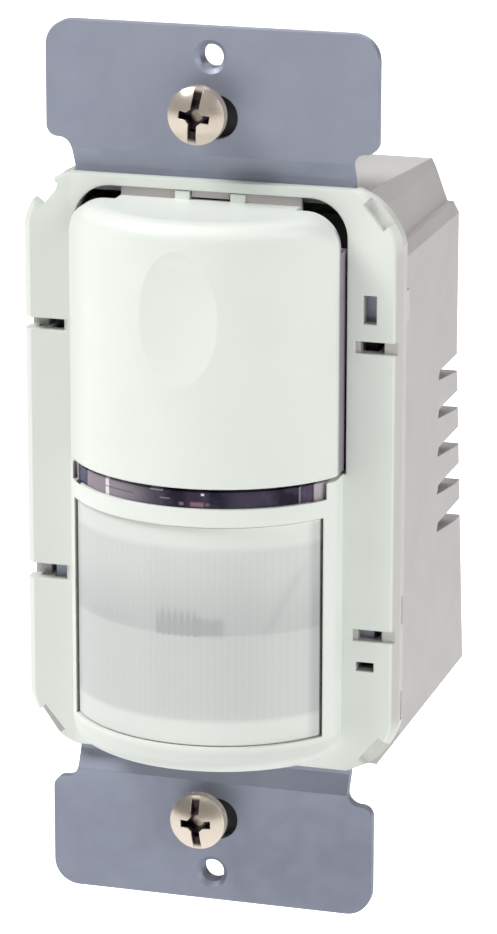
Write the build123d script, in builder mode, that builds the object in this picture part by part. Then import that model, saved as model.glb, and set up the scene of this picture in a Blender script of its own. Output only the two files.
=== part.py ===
from build123d import *
from math import atan2, cos, degrees, radians, sin, sqrt
import os

# A wall switch with a motion sensor, held by a metal strap.
# Millimetres. X runs to the right and Z up as the user faces it, and -Y comes out of the wall.
# The origin is midway between the two cover plate screw holes, on the plane of the wall
# (the rear face of the strap's ears).

overrun = 1.0                     # how far a cutting shape runs past what it cuts
near = 0.05                       # how close an edge lies to the place it is chosen by
wall_plane = 0.0

# Mounting strap, folded from sheet steel
strap_thickness = 1.2
plate_hole_margin = 3.38          # from the plate hole to the end of the strap
ear_side_margin = 3.6              # ear beyond the side of the domed front
ear_start = 1.2                   # from the step back to the ear
ear_outer_round = 3.0
ear_inner_round = 1.3
neck_inset = 3.0
neck_round = 1.6
joggle_margin = 2.85              # from the cover to where the sheet starts to step back
joggle_run = 2.2                  # height over which it steps back
joggle_step = 1.2
rail_inset = 1.85                 # side of the frame hidden behind the cover
rail_corner_height = 5.0
rail_corner_inset = 1.35
window_side_margin = 1.1
window_top_margin = 1.75
window_bottom_margin = 1.65
window_round = 3.0

# Standard hole spacings of a wall box strap
plate_hole_step = 6.75            # from a box screw to the plate hole beyond it
plate_hole_radius = 1.38
plate_collar_radius = 2.15
plate_collar_depth = 1.3
plate_hole_countersink = 0.55
box_hole_spacing = 83.34
box_slot_length = 6.4
box_slot_height = 5.0

# Mounting screws, loose in their slots and pushed up and to the left
screw_offset_x = -0.6
screw_offset_z = 0.7
screw_head_radius = 3.3
screw_head_height = 2.4
screw_head_crown = 1.1            # height of the domed part of the head
screw_head_gap = 2.3              # free shank between the strap and the head
screw_radius = 1.72
screw_neck_radius = 1.5           # plain shank, through the strap and its washer
screw_neck_gap = 0.4              # from the washer to the thread
screw_length = 25.4
screw_tip = 0.8
screw_slot_width = 1.0
screw_slot_depth = 1.1
cross_recess_length = 3.6
cross_recess_width = 0.9
cross_recess_depth = 1.7
cross_core_width = 1.9
cross_core_turn = 45.0            # degrees
screw_turns = (-8.0, 2.0)         # how far each head is turned, in degrees

# Fibre washers that keep the screws in the strap
fibre_width = 9.4
fibre_height = 6.7
fibre_thickness = 0.8
fibre_round = 0.8
fibre_clearance = 0.03

# Front cover: a flat flange with a shallow skirt
flange_thickness = 1.6
skirt_depth = 0.9                 # how far the skirt runs back past the flange
skirt_wall = 1.25
flange_border = 5.65              # beside the domed front
flange_top_margin = 7.32          # from the upper box screw to the cover
flange_bottom_margin = 7.72       # from the lower box screw to the cover
flange_corner_width = 5.1         # from where the straight ends stop to the side
flange_corner_drop = 6.1          # height of the rounded corner
flange_corner_bulge = 1.15        # how far the corner bows out from its chord
flange_bevel = 0.9                # bevel from the flange out to the skirt
corner_recess_length = 3.7
corner_recess_depth = 1.0
corner_recess_step = 0.9          # how far its floor lies behind the flange, on the right

# Domed front shared by the button, the indicator strip and the lens frame
face_half_width = 15.8
dome_side_height = 2.9            # how far the side walls stand out of the flange
dome_sagitta_share = 0.6           # height of the dome's arc to half its width
dome_edge_round = 2.2             # of the button

# Push button
button_top_margin = 2.25
button_bottom = 2.05
button_wall = 1.4
button_side_gap = 0.3
button_top_round = 4.0
button_skirt_gap = 0.5            # rear edge of the skirt to the strap, at the top
button_corner_height = 4.6        # the skirt is cut away this far down, outside the hinge leaf
button_corner_lip = 1.3
dish_drop = 10.8
dish_radius = 33.0
dish_depth = 0.9
press_angle = 1.5                 # how far the button turns when pressed, in degrees

# Hinge of the button: two arms with beads, trapped between the cover's top rail and the strap
gap_top_margin = 1.15
opening_top_round = 4.4
hinge_margin = 0.8
hinge_bead_radius = 0.35
hinge_clearance = 0.05
hinge_setback = 0.45              # bead's centre to the strap
arm_thickness = 0.5
arm_block_setback = 0.1           # front of the arm to the front of the flange
arm_inner_x = 2.4
arm_outer_x = 4.1
arm_side_gap = 0.15
leaf_half_width = 10.6
leaf_gap = 0.12
leaf_setback = 0.5
leaf_thickness = 0.5
stop_gap = 0.25                   # between the arms, over the button's top

# Lens frame (bezel), part of the cover
bezel_bottom_margin = 2.25
bezel_top = 1.6
bezel_wall = 1.2
bezel_bottom_wall = 1.5
bezel_corner_round = 3.0
bezel_rim_round = 1.5
strip_floor = -0.3
strip_bar_depth = 2.2
strip_end_inset = 2.1
strip_opening_inset = 0.8
strip_post_setback = 0.5
strip_post_depth = 1.7
lens_opening_inset = 1.05
lens_opening_top = -2.4
lens_sill = 3.3

# Smoked indicator strip
strip_setback = 0.4
strip_gap = 0.05
strip_lip_depth = 0.7
strip_lip_drop = 0.9

# Fresnel lens: a curved sheet with legs that stand on the inner frame
lens_side_gap = 0.35
lens_setback = 0.35
lens_wall = 1.0
lens_edge_gap = 0.15
lens_border = 1.0
lens_lip_depth = 1.0
lens_lip_reach = 1.0
lens_lip_gap = 0.1
lens_groove_depth = 0.2
lens_groove_width = 0.25
lens_row_top_margin = 2.7
lens_row_bottom_margin = 3.1
lens_row_counts = (9, 7)
lens_leg_inset = 1.8
lens_leg_width = 1.2
lens_leg_height = 2.0

# Openings in the flange
side_notch_in_margin = 3.9
side_notch_out_margin = 1.1       # beyond this a right notch is only a shallow channel
side_notch_channel = 0.5
right_notch_height = 1.4
left_notch_height = 1.9
upper_notch_z = 16.5
lower_right_notch_z = -17.4
lower_left_notch_z = -13.15
tall_slot_margin = 2.7
tall_slot_z = 20.85
tall_slot_width = 1.55
tall_slot_height = 3.3
small_slot_margin = 2.95
small_slot_z = -21.15
small_slot_width = 2.1
small_slot_height = 1.1
side_tab_z = 21.0
side_tab_height = 3.6
side_tab_depth = 1.2
side_tab_gap = 0.1
skirt_groove_depth = 0.35
skirt_groove_width = 0.5
skirt_groove_height = 3.4
skirt_groove_zs = (-14.5, -26.0)

# Snap fingers of the cover, each split by its notch
finger_inset = 1.45
finger_thickness = 0.65
finger_height = 4.4
finger_length = 4.6
finger_barb = 0.5
finger_barb_length = 1.1
finger_gap = 0.1
upper_relief_depth = 2.0
lower_relief_depth = 0.4

# Rear housing
housing_side_inset = 0.35         # behind the cover's skirt
housing_top_inset = 0.35
housing_top_draft = 1.35
housing_bottom_inset = 0.25
housing_bottom_draft = 1.1
housing_depth_top = 26.2
housing_slant_depth = 5.1
housing_slant_z = 9.6             # the back is upright above this and slopes out below
housing_wall = 1.9
pocket_step_drop = 6.3
pocket_step_inset = 1.4
pocket_side_inset = 0.7
pocket_side_drop = 7.6
pocket_shoulder_inset = 2.85
pocket_shoulder_drop = 2.3
pocket_top_inset = 4.0
lower_side_rise = 3.7
lower_shoulder_inset = 2.6
neck_gap = 0.25
vent_count = 5
vent_spacing = 4.62
vent_first_z = 9.25
vent_reach = 8.2                  # how far the vents come forward from the upper back
vent_inner_height = 1.0
vent_outer_height = 2.1
vent_inner_slant = 0.6
vent_depth = 2.2
lead_hole_radius = 2.3
lead_hole_spacing = 8.0
lead_hole_drop = 10.5
lead_collar_wall = 1.0
lead_collar_height = 0.8

# Inner frame, behind the strap
frame_thickness = 1.2
frame_side_gap = 1.1
frame_end_gap = 0.8
frame_corner_x = 4.0
frame_corner_z = 6.0
frame_sight_round = 1.0
frame_clearance = 0.4
stake_side_inset = 3.2
stake_end_inset = 8.6
stake_shoulder_radius = 1.9
stake_shoulder_height = 1.0
stake_radius = 0.9
stake_head_radius = 1.6
stake_head_height = 0.7
stake_clearance = 0.05

# Circuit boards and what carries them
board_thickness = 1.6
board_corner = 1.5
control_side_inset = 1.0
control_end_inset = 4.7
power_side_gap = 2.9
power_end_inset = 5.2
power_rear_room = 3.9             # from the power board to the upper back's inside
column_size = 3.0
column_side_inset = 3.6
column_end_inset = 2.8
post_radius = 2.6
post_side_inset = 3.6
post_end_inset = 3.2
board_screw_radius = 1.1
board_screw_head_radius = 2.1
board_screw_head_height = 1.5
board_screw_length = 6.0
board_screw_slot_width = 0.6
board_screw_slot_depth = 0.7
board_screw_chamfer = 0.3
board_screw_clearance = 0.05
board_screw_end_gap = 0.3

# Tactile switch under the button
tact_drop = 12.1
tact_size = 6.2
tact_height = 3.6
tact_corner = 0.6
tact_plunger_radius = 1.7
tact_plunger_length = 2.5
tact_plunger_depth = 1.1
tact_plunger_chamfer = 0.2
tact_bore_depth = 1.7
running_gap = 0.05
press_post_gap = 0.1
press_post_radius = 1.6
press_rib_width = 1.0
press_rib_length = 5.0
press_rib_setback = 3.0

# Trimmers for time, light level and range
trimmer_size = 6.6
trimmer_corner = 0.6
trimmer_height = 3.0
trimmer_z = 9.0
trimmer_spacing = 9.5
rotor_radius = 2.2
rotor_height = 1.1
rotor_shaft_radius = 1.0
rotor_shaft_depth = 1.6
rotor_bore_depth = 2.1
rotor_lift = 0.1
rotor_slot_width = 0.6
rotor_slot_length = 3.2
rotor_slot_depth = 0.5
rotor_flat = 0.5                  # pointer notch at the rim

# Motion sensor element
sensor_drop = 0.2                 # under the line between the lens rows
sensor_spacer_height = 2.0
sensor_spacer_radius = 4.3
sensor_base_radius = 4.6
sensor_base_height = 0.5
sensor_can_radius = 4.1
sensor_can_height = 3.7
sensor_can_round = 0.5
sensor_window_width = 4.0
sensor_window_height = 3.0
sensor_window_depth = 0.5
sensor_lead_ring = 2.54
sensor_lead_angles = (45, 135, 270)

# Status light and light sensor behind the indicator strip
lamp_x = 6.0
lamp_z = -0.1
lamp_radius = 1.5
lamp_flange_radius = 1.75
lamp_flange_height = 0.6
lamp_base_y = -4.6
lamp_body_length = 2.6
photocell_x = -5.0
photocell_width = 5.0
photocell_height = 2.9
photocell_round = 0.95
photocell_front_y = -8.3
photocell_thickness = 1.9
lead_radius = 0.25
lead_spacing = 2.54
lead_clearance = 0.05
lead_tail = 0.8

# Parts of the power board
relay_width = 15.4
relay_length = 19.2
relay_headroom = 1.5              # to the control board, as for the other tall parts
relay_x = -6.8
relay_z = 10.2
relay_round = 0.6
relay_top_round = 0.3
can_capacitor_radius = 4.0
can_capacitor_headroom = 2.3
can_capacitor_x = 9.5
can_capacitor_zs = (-16.5, -6.5)
can_groove_height = 2.0
can_groove_depth = 0.35
can_top_round = 0.35
can_groove_width = 0.8
film_width = 13.0
film_thickness = 4.6
film_headroom = 3.3
film_x = 9.2
film_z = 16.6
film_round = 0.5
choke_x = 9.4
choke_z = 5.4
choke_flange_radius = 5.0
choke_core_radius = 2.2
choke_winding_radius = 4.3
choke_flange_thickness = 1.2
choke_headroom = 4.8
varistor_x = -11.6
varistor_z = -4.6
varistor_headroom = 3.0
varistor_thickness = 3.8
varistor_round = 0.95
varistor_lift = 1.6
varistor_lead_spacing = 5.0
fuse_x = -4.0
fuse_z = -18.2
fuse_radius = 1.6
fuse_length = 9.0
fuse_lift = 0.8
diode_count = 4
diode_radius = 1.3
diode_length = 5.0
diode_spacing = 3.6
diode_first_x = -14.0
diode_z = -12.6
diode_lift = 0.5
small_lead_radius = 0.35
header_end_inset = 3.7
header_pins = 6
header_spacing = 2.54
header_pin_width = 0.64
header_pin_tail = 0.8
header_pin_front_tail = 0.4
header_body_height = 2.5
chip_x = 6.0
chip_z = -4.0
chip_length = 10.0
chip_width = 3.9
chip_height = 1.6
chip_standoff = 0.15
chip_leg_count = 7
chip_leg_spacing = 1.27
chip_leg_width = 0.42
chip_leg_reach = 1.05
tab_width = 4.8
tab_thickness = 0.8
tab_length = 2.4
tab_drop = 9.0

# Outlines and places that follow from the sizes above
ear_half_width = face_half_width + ear_side_margin
flange_half_width = face_half_width + flange_border
skirt_half_width = flange_half_width + flange_bevel
flange_top = box_hole_spacing / 2 - flange_top_margin
flange_bottom = box_hole_spacing / 2 - flange_bottom_margin
flange_corner_in = flange_half_width - flange_corner_width
plate_hole_spacing = box_hole_spacing + 2 * plate_hole_step
joggle_outer_z = flange_top + joggle_margin
joggle_inner_z = joggle_outer_z - joggle_run
strap_length = plate_hole_spacing + 2 * plate_hole_margin
ear_height = strap_length / 2 - joggle_outer_z - ear_start
neck_half_width = ear_half_width - neck_inset
rail_half_width = flange_half_width - rail_inset
rail_corner_top = flange_top - rail_corner_inset
rail_corner_z = rail_corner_top - rail_corner_height
window_half_width = face_half_width + window_side_margin
window_top = flange_top - window_top_margin
window_bottom = window_bottom_margin - flange_bottom
button_top = flange_top - button_top_margin
gap_top = flange_top - gap_top_margin
hinge_z = flange_top - hinge_margin
button_corner_z = button_top - button_corner_height
dish_height = button_top - dish_drop
tact_z = button_top - tact_drop
bezel_bottom = bezel_bottom_margin - flange_bottom
strip_end = face_half_width - strip_end_inset
strip_half_opening = face_half_width - strip_opening_inset
lens_opening_half_width = face_half_width - lens_opening_inset
lens_opening_bottom = bezel_bottom + lens_sill
lens_half_width = lens_opening_half_width - lens_side_gap
lens_leg_x = lens_half_width - lens_leg_inset
lens_row_top = lens_opening_top - lens_row_top_margin
lens_row_bottom = lens_opening_bottom + lens_row_bottom_margin
lens_row_heights = (lens_row_top, (lens_row_top + lens_row_bottom) / 2, lens_row_bottom)
sensor_z = lens_row_heights[1] - sensor_drop
side_notch_in = flange_half_width - side_notch_in_margin
side_notch_out = flange_half_width - side_notch_out_margin
tall_slot_x = flange_half_width - tall_slot_margin
small_slot_x = flange_half_width - small_slot_margin
finger_out = flange_half_width - finger_inset
strap_upper_relief = rail_half_width - upper_relief_depth
strap_lower_relief = rail_half_width - lower_relief_depth
housing_half_width = skirt_half_width - housing_side_inset
housing_top_front = flange_top - housing_top_inset
housing_top_rear = housing_top_front - housing_top_draft
housing_bottom_front = flange_bottom - housing_bottom_inset
housing_bottom_rear = housing_bottom_front - housing_bottom_draft
housing_depth_bottom = housing_depth_top + housing_slant_depth
pocket_step_z = housing_top_front - pocket_step_drop
pocket_step_in = housing_half_width - pocket_step_inset
pocket_step_out = housing_half_width - pocket_side_inset
pocket_side_z = housing_top_front - pocket_side_drop
pocket_shoulder_x = housing_half_width - pocket_shoulder_inset
pocket_shoulder_z = housing_top_front - pocket_shoulder_drop
pocket_top_x = housing_half_width - pocket_top_inset
lower_side_z = housing_bottom_front - lower_side_rise
lower_shoulder_x = housing_half_width - lower_shoulder_inset
vent_inner_y = housing_depth_top - vent_reach
lead_hole_z = housing_top_front - lead_hole_drop
frame_half_width = housing_half_width - housing_wall - frame_side_gap
frame_half_height = housing_bottom_front - housing_wall - frame_end_gap
stake_x = frame_half_width - stake_side_inset
stake_z = frame_half_height - stake_end_inset
control_half_width = frame_half_width - control_side_inset
control_half_height = frame_half_height - control_end_inset
power_half_width = housing_half_width - housing_wall - power_side_gap
power_half_height = frame_half_height - power_end_inset
power_front = housing_depth_top - housing_wall - power_rear_room - board_thickness
column_x = frame_half_width - column_side_inset
column_z = frame_half_height - column_end_inset
post_x = power_half_width - post_side_inset
post_z = power_half_height - post_end_inset
header_z = header_end_inset - control_half_height
tab_z = lead_hole_z - tab_drop

# Derived places
flange_front = wall_plane - flange_thickness
seam_y = wall_plane + skirt_depth
dome_side_y = flange_front - dome_side_height
dome_sagitta = face_half_width * dome_sagitta_share
dome_apex_y = dome_side_y - dome_sagitta
dome_radius = (face_half_width**2 + dome_sagitta**2) / (2 * dome_sagitta)
dome_center_y = dome_apex_y + dome_radius
strap_rear = wall_plane + joggle_step
frame_rear = strap_rear + frame_thickness
control_front = frame_rear + stake_shoulder_height
control_rear = control_front + board_thickness
power_rear = power_front + board_thickness
board_room = power_front - control_rear
relay_height = board_room - relay_headroom
can_capacitor_height = board_room - can_capacitor_headroom
film_height = board_room - film_headroom
choke_height = board_room - choke_headroom
varistor_radius = (board_room - varistor_lift - varistor_headroom) / 2
hinge_y = wall_plane - hinge_setback
button_travel = (hinge_z - button_bottom) * sin(radians(press_angle))
opening_half_width = face_half_width + button_side_gap
tact_front = control_front - tact_height
plunger_front = tact_front - (tact_plunger_length - tact_plunger_depth)
trimmer_front = control_front - trimmer_height
trimmer_xs = (-trimmer_spacing, 0, trimmer_spacing)
stakes = [(sx * stake_x, sz * stake_z) for sx in (1, -1) for sz in (1, -1)]
posts = [(sx * post_x, sz * post_z) for sx in (1, -1) for sz in (1, -1)]
columns = [(sx * column_x, sz * column_z) for sx in (1, -1) for sz in (1, -1)]
diode_xs = [diode_first_x + i * diode_spacing for i in range(diode_count)]
header_xs = [(i - (header_pins - 1) / 2) * header_spacing for i in range(header_pins)]
sensor_leads_at = [
    (sensor_lead_ring * cos(radians(a)), sensor_z + sensor_lead_ring * sin(radians(a)))
    for a in sensor_lead_angles
]
lamp_leads_at = [(lamp_x + s * lead_spacing / 2, lamp_z) for s in (1, -1)]
photocell_leads_at = [(photocell_x + s * lead_spacing / 2, lamp_z) for s in (1, -1)]
control_leads_at = sensor_leads_at + lamp_leads_at + photocell_leads_at
notches = (
    (1, upper_notch_z, right_notch_height, strap_upper_relief),
    (-1, upper_notch_z, right_notch_height, strap_upper_relief),
    (1, lower_right_notch_z, right_notch_height, strap_lower_relief),
    (-1, lower_left_notch_z, left_notch_height, strap_lower_relief),
)

os.makedirs("parts", exist_ok=True)


def front_plane(y):
    """A plane facing the user at depth y: local x is X, local y is Z, and it faces -Y."""
    return Plane.XZ.offset(-y)


def dome_y(x, inset):
    """Depth of the domed front at x, at a distance inset behind its surface."""
    return dome_center_y - sqrt((dome_radius - inset) ** 2 - x**2)


def dome_section(z, half_width, inset, back):
    """Section of the domed front seen from above, from its curve back to depth back."""
    edge_y = dome_y(half_width, inset)
    with BuildSketch(Plane.XY.offset(z)) as section:
        with BuildLine():
            ThreePointArc((-half_width, edge_y), (0, dome_apex_y + inset), (half_width, edge_y))
            Polyline((half_width, edge_y), (half_width, back), (-half_width, back), (-half_width, edge_y))
        make_face()
    return section.sketch


def dome_band(z, x_from, x_to, inset, depth):
    """Curved band that follows the domed front, seen from above."""
    middle = (x_from + x_to) / 2
    outer = [(x, dome_y(x, inset)) for x in (x_from, middle, x_to)]
    inner = [(x, dome_y(x, inset + depth)) for x in (x_to, middle, x_from)]
    with BuildSketch(Plane.XY.offset(z)) as band:
        with BuildLine():
            ThreePointArc(*outer)
            Line(outer[2], inner[0])
            ThreePointArc(*inner)
            Line(inner[2], outer[0])
        make_face()
    return band.sketch


def cover_outline(y, grow, wall):
    """Front outline of the cover, its sides grown by grow, and all of it drawn in by wall."""
    side = flange_half_width + grow
    corner = flange_corner_in + grow / 2
    corner_high = flange_top - flange_corner_drop
    corner_low = flange_corner_drop - flange_bottom
    with BuildSketch(front_plane(y)) as outline:
        with BuildLine():
            Polyline((0, -flange_bottom), (0, flange_top), (corner, flange_top))
            SagittaArc((corner, flange_top), (side, corner_high), flange_corner_bulge)
            Line((side, corner_high), (side, corner_low))
            SagittaArc((side, corner_low), (corner, -flange_bottom), flange_corner_bulge)
            Line((corner, -flange_bottom), (0, -flange_bottom))
        make_face()
        mirror(about=Plane.YZ)
        if wall > 0:
            offset(amount=-wall, kind=Kind.INTERSECTION)
    return outline.sketch


def strap_frame_outline(y, grow):
    """Front outline of the strap's frame and necks, grown by grow."""
    with BuildSketch(front_plane(y)) as outline:
        Rectangle(2 * neck_half_width, strap_length - ear_height)
        with BuildLine():
            Polyline(
                (neck_half_width, rail_corner_top),
                (rail_half_width, rail_corner_z),
                (rail_half_width, -rail_corner_z),
                (neck_half_width, -rail_corner_top),
                (-neck_half_width, -rail_corner_top),
                (-rail_half_width, -rail_corner_z),
                (-rail_half_width, rail_corner_z),
                (-neck_half_width, rail_corner_top),
                close=True,
            )
        make_face()
        if grow > 0:
            offset(amount=grow, kind=Kind.INTERSECTION)
    return outline.sketch


def housing_outline(y, wall):
    """Front outline of the rear housing, drawn in by wall."""
    with BuildSketch(front_plane(y)) as outline:
        with BuildLine():
            Polyline(
                (0, housing_top_front),
                (pocket_top_x, housing_top_front),
                (pocket_shoulder_x, pocket_shoulder_z),
                (pocket_step_in, pocket_step_z),
                (pocket_step_out, pocket_step_z),
                (housing_half_width, pocket_side_z),
                (housing_half_width, -lower_side_z),
                (lower_shoulder_x, -housing_bottom_front),
                (0, -housing_bottom_front),
                close=True,
            )
        make_face()
        mirror(about=Plane.YZ)
        if wall > 0:
            offset(amount=-wall, kind=Kind.INTERSECTION)
    return outline.sketch


def housing_block(front, wall):
    """The housing's outer block, or its cavity when wall is more than zero."""
    with BuildPart() as block:
        with BuildSketch(Plane.YZ):
            with BuildLine():
                Polyline(
                    (front, housing_top_front - wall),
                    (housing_depth_top - wall, housing_top_rear - wall),
                    (housing_depth_top - wall, housing_slant_z),
                    (housing_depth_bottom - wall, -lower_side_z),
                    (housing_depth_bottom - wall, wall - housing_bottom_rear),
                    (front, wall - housing_bottom_front),
                    close=True,
                )
            make_face()
        extrude(amount=housing_half_width, both=True)
        rear = housing_depth_bottom + overrun
        extrude(housing_outline(rear, wall), amount=rear - front + overrun, mode=Mode.INTERSECT)
    return block.part


def round_leads(places, front, back, radius):
    """Straight round wires along Y at the given places."""
    with BuildPart() as leads:
        with BuildSketch(front_plane(back)):
            with Locations(*places):
                Circle(radius)
        extrude(amount=back - front)
    return leads.part


# Mounting strap: side profile with its two steps, cut to the front outline
with BuildPart() as mounting_strap:
    half_length = strap_length / 2
    ear_low = half_length - ear_height
    front_y = wall_plane - strap_thickness
    with BuildSketch(Plane.YZ):
        with BuildLine():
            Polyline(
                (front_y, half_length),
                (wall_plane, half_length),
                (wall_plane, joggle_outer_z),
                (wall_plane + joggle_step, joggle_inner_z),
                (wall_plane + joggle_step, -joggle_inner_z),
                (wall_plane, -joggle_outer_z),
                (wall_plane, -half_length),
                (front_y, -half_length),
                (front_y, -joggle_outer_z),
                (front_y + joggle_step, -joggle_inner_z),
                (front_y + joggle_step, joggle_inner_z),
                (front_y, joggle_outer_z),
                close=True,
            )
        make_face()
    extrude(amount=rail_half_width, both=True)
    with BuildSketch(front_plane(strap_rear + overrun)) as strap_outline:
        add(strap_frame_outline(strap_rear + overrun, 0))
        with Locations((0, half_length - ear_height / 2), (0, ear_height / 2 - half_length)):
            Rectangle(2 * ear_half_width, ear_height)
        tips = strap_outline.vertices().filter_by(lambda v: abs(v.Y) > half_length - near)
        fillet(tips, radius=ear_outer_round)
        shoulders = strap_outline.vertices().filter_by(
            lambda v: abs(abs(v.Y) - ear_low) < near and abs(v.X) > ear_half_width - near
        )
        fillet(shoulders, radius=ear_inner_round)
        waists = strap_outline.vertices().filter_by(
            lambda v: abs(abs(v.Y) - ear_low) < near and abs(v.X) < neck_half_width + near
        )
        fillet(waists, radius=neck_round)
    extrude(amount=strap_thickness + joggle_step + 2 * overrun, mode=Mode.INTERSECT)
    with BuildSketch(front_plane(strap_rear + overrun)):
        with Locations((0, (window_top + window_bottom) / 2)):
            RectangleRounded(2 * window_half_width, window_top - window_bottom, window_round)
        for side, z, height, relief in notches:
            with Locations((side * (relief + rail_half_width) / 2, z)):
                Rectangle(rail_half_width - relief, finger_height + 2 * finger_gap)
        with Locations((small_slot_x, small_slot_z)):
            Rectangle(small_slot_width, small_slot_height + 2 * finger_gap)
    extrude(amount=strap_thickness + 2 * overrun, mode=Mode.SUBTRACT)
    with BuildSketch(front_plane(wall_plane + plate_collar_depth)):
        with Locations((0, plate_hole_spacing / 2), (0, -plate_hole_spacing / 2)):
            Circle(plate_collar_radius)
    extrude(amount=plate_collar_depth)
    with BuildSketch(front_plane(wall_plane + plate_collar_depth + overrun)):
        with Locations((0, plate_hole_spacing / 2), (0, -plate_hole_spacing / 2)):
            Circle(plate_hole_radius)
        with Locations((0, box_hole_spacing / 2), (0, -box_hole_spacing / 2)):
            SlotOverall(box_slot_length, box_slot_height)
    extrude(amount=strap_thickness + plate_collar_depth + 2 * overrun, mode=Mode.SUBTRACT)
    mouths = mounting_strap.edges().filter_by(GeomType.CIRCLE).filter_by(
        lambda e: abs(e.radius - plate_hole_radius) < near and e.center().Y < front_y + near
    )
    chamfer(mouths, length=plate_hole_countersink)
    mounting_strap.part.label = "mounting_strap"
export_step(mounting_strap.part, "parts/mounting_strap.step")


# Mounting screws: pan heads with a straight slot and a cross recess
with BuildPart() as mounting_screws:
    head_back = wall_plane - strap_thickness - screw_head_gap
    head_front = head_back - screw_head_height
    rim_y = head_front + screw_head_crown
    tip_y = head_back + screw_length
    neck_end_y = wall_plane + fibre_thickness + screw_neck_gap
    crown_radius = (screw_head_radius**2 + screw_head_crown**2) / (2 * screw_head_crown)
    crown_mid = screw_head_radius / 2
    crown_mid_y = head_front + crown_radius - sqrt(crown_radius**2 - crown_mid**2)
    for sign, turn in zip((1, -1), screw_turns):
        screw_z = sign * box_hole_spacing / 2 + screw_offset_z
        with BuildSketch(Plane.XY.offset(screw_z)):
            with BuildLine(Location((screw_offset_x, 0, 0))):
                Line((0, tip_y), (0, head_front))
                ThreePointArc((0, head_front), (crown_mid, crown_mid_y), (screw_head_radius, rim_y))
                Polyline(
                    (screw_head_radius, rim_y),
                    (screw_head_radius, head_back),
                    (screw_neck_radius, head_back),
                    (screw_neck_radius, neck_end_y),
                    (screw_radius, neck_end_y),
                    (screw_radius, tip_y - screw_tip),
                    (screw_radius - screw_tip, tip_y),
                    (0, tip_y),
                )
            make_face()
        revolve(axis=Axis((screw_offset_x, 0, screw_z), (0, 1, 0)))
        with BuildSketch(front_plane(head_front - overrun)):
            with Locations(Location((screw_offset_x, screw_z, 0), (0, 0, turn))):
                Rectangle(screw_slot_width, 2 * screw_head_radius + overrun)
        extrude(amount=-(screw_slot_depth + overrun), mode=Mode.SUBTRACT)
        with BuildSketch(front_plane(head_front - overrun)):
            with Locations(Location((screw_offset_x, screw_z, 0), (0, 0, turn))):
                Rectangle(cross_recess_width, cross_recess_length)
                Rectangle(cross_recess_length, cross_recess_width)
                Rectangle(cross_core_width, cross_core_width, rotation=cross_core_turn)
        extrude(amount=-(cross_recess_depth + overrun), mode=Mode.SUBTRACT)
    mounting_screws.part.label = "mounting_screws"
export_step(mounting_screws.part, "parts/mounting_screws.step")


# Fibre washers behind the strap's ears
with BuildPart() as fibre_washers:
    with BuildSketch(front_plane(wall_plane + fibre_thickness)):
        for sign in (1, -1):
            with Locations((screw_offset_x, sign * box_hole_spacing / 2 + screw_offset_z)):
                RectangleRounded(fibre_width, fibre_height, fibre_round)
                Circle(screw_neck_radius + fibre_clearance, mode=Mode.SUBTRACT)
    extrude(amount=fibre_thickness)
    fibre_washers.part.label = "fibre_washers"
export_step(fibre_washers.part, "parts/fibre_washers.step")


# Lens frame of the cover: a domed block with rounded sides
with BuildPart() as bezel_block:
    extrude(
        dome_section(bezel_bottom, face_half_width, 0, wall_plane), amount=bezel_top - bezel_bottom
    )
    low_sides = bezel_block.edges().filter_by(Axis.Y).filter_by(
        lambda e: abs(e.center().Z - bezel_bottom) < near
    )
    fillet(low_sides, radius=bezel_corner_round)
    dome_face = bezel_block.faces().filter_by(GeomType.CYLINDER).sort_by(Axis.Y)[0]
    rim = dome_face.edges().filter_by(lambda e: e.center().Z < bezel_top - near)
    fillet(rim, radius=bezel_rim_round)


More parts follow.
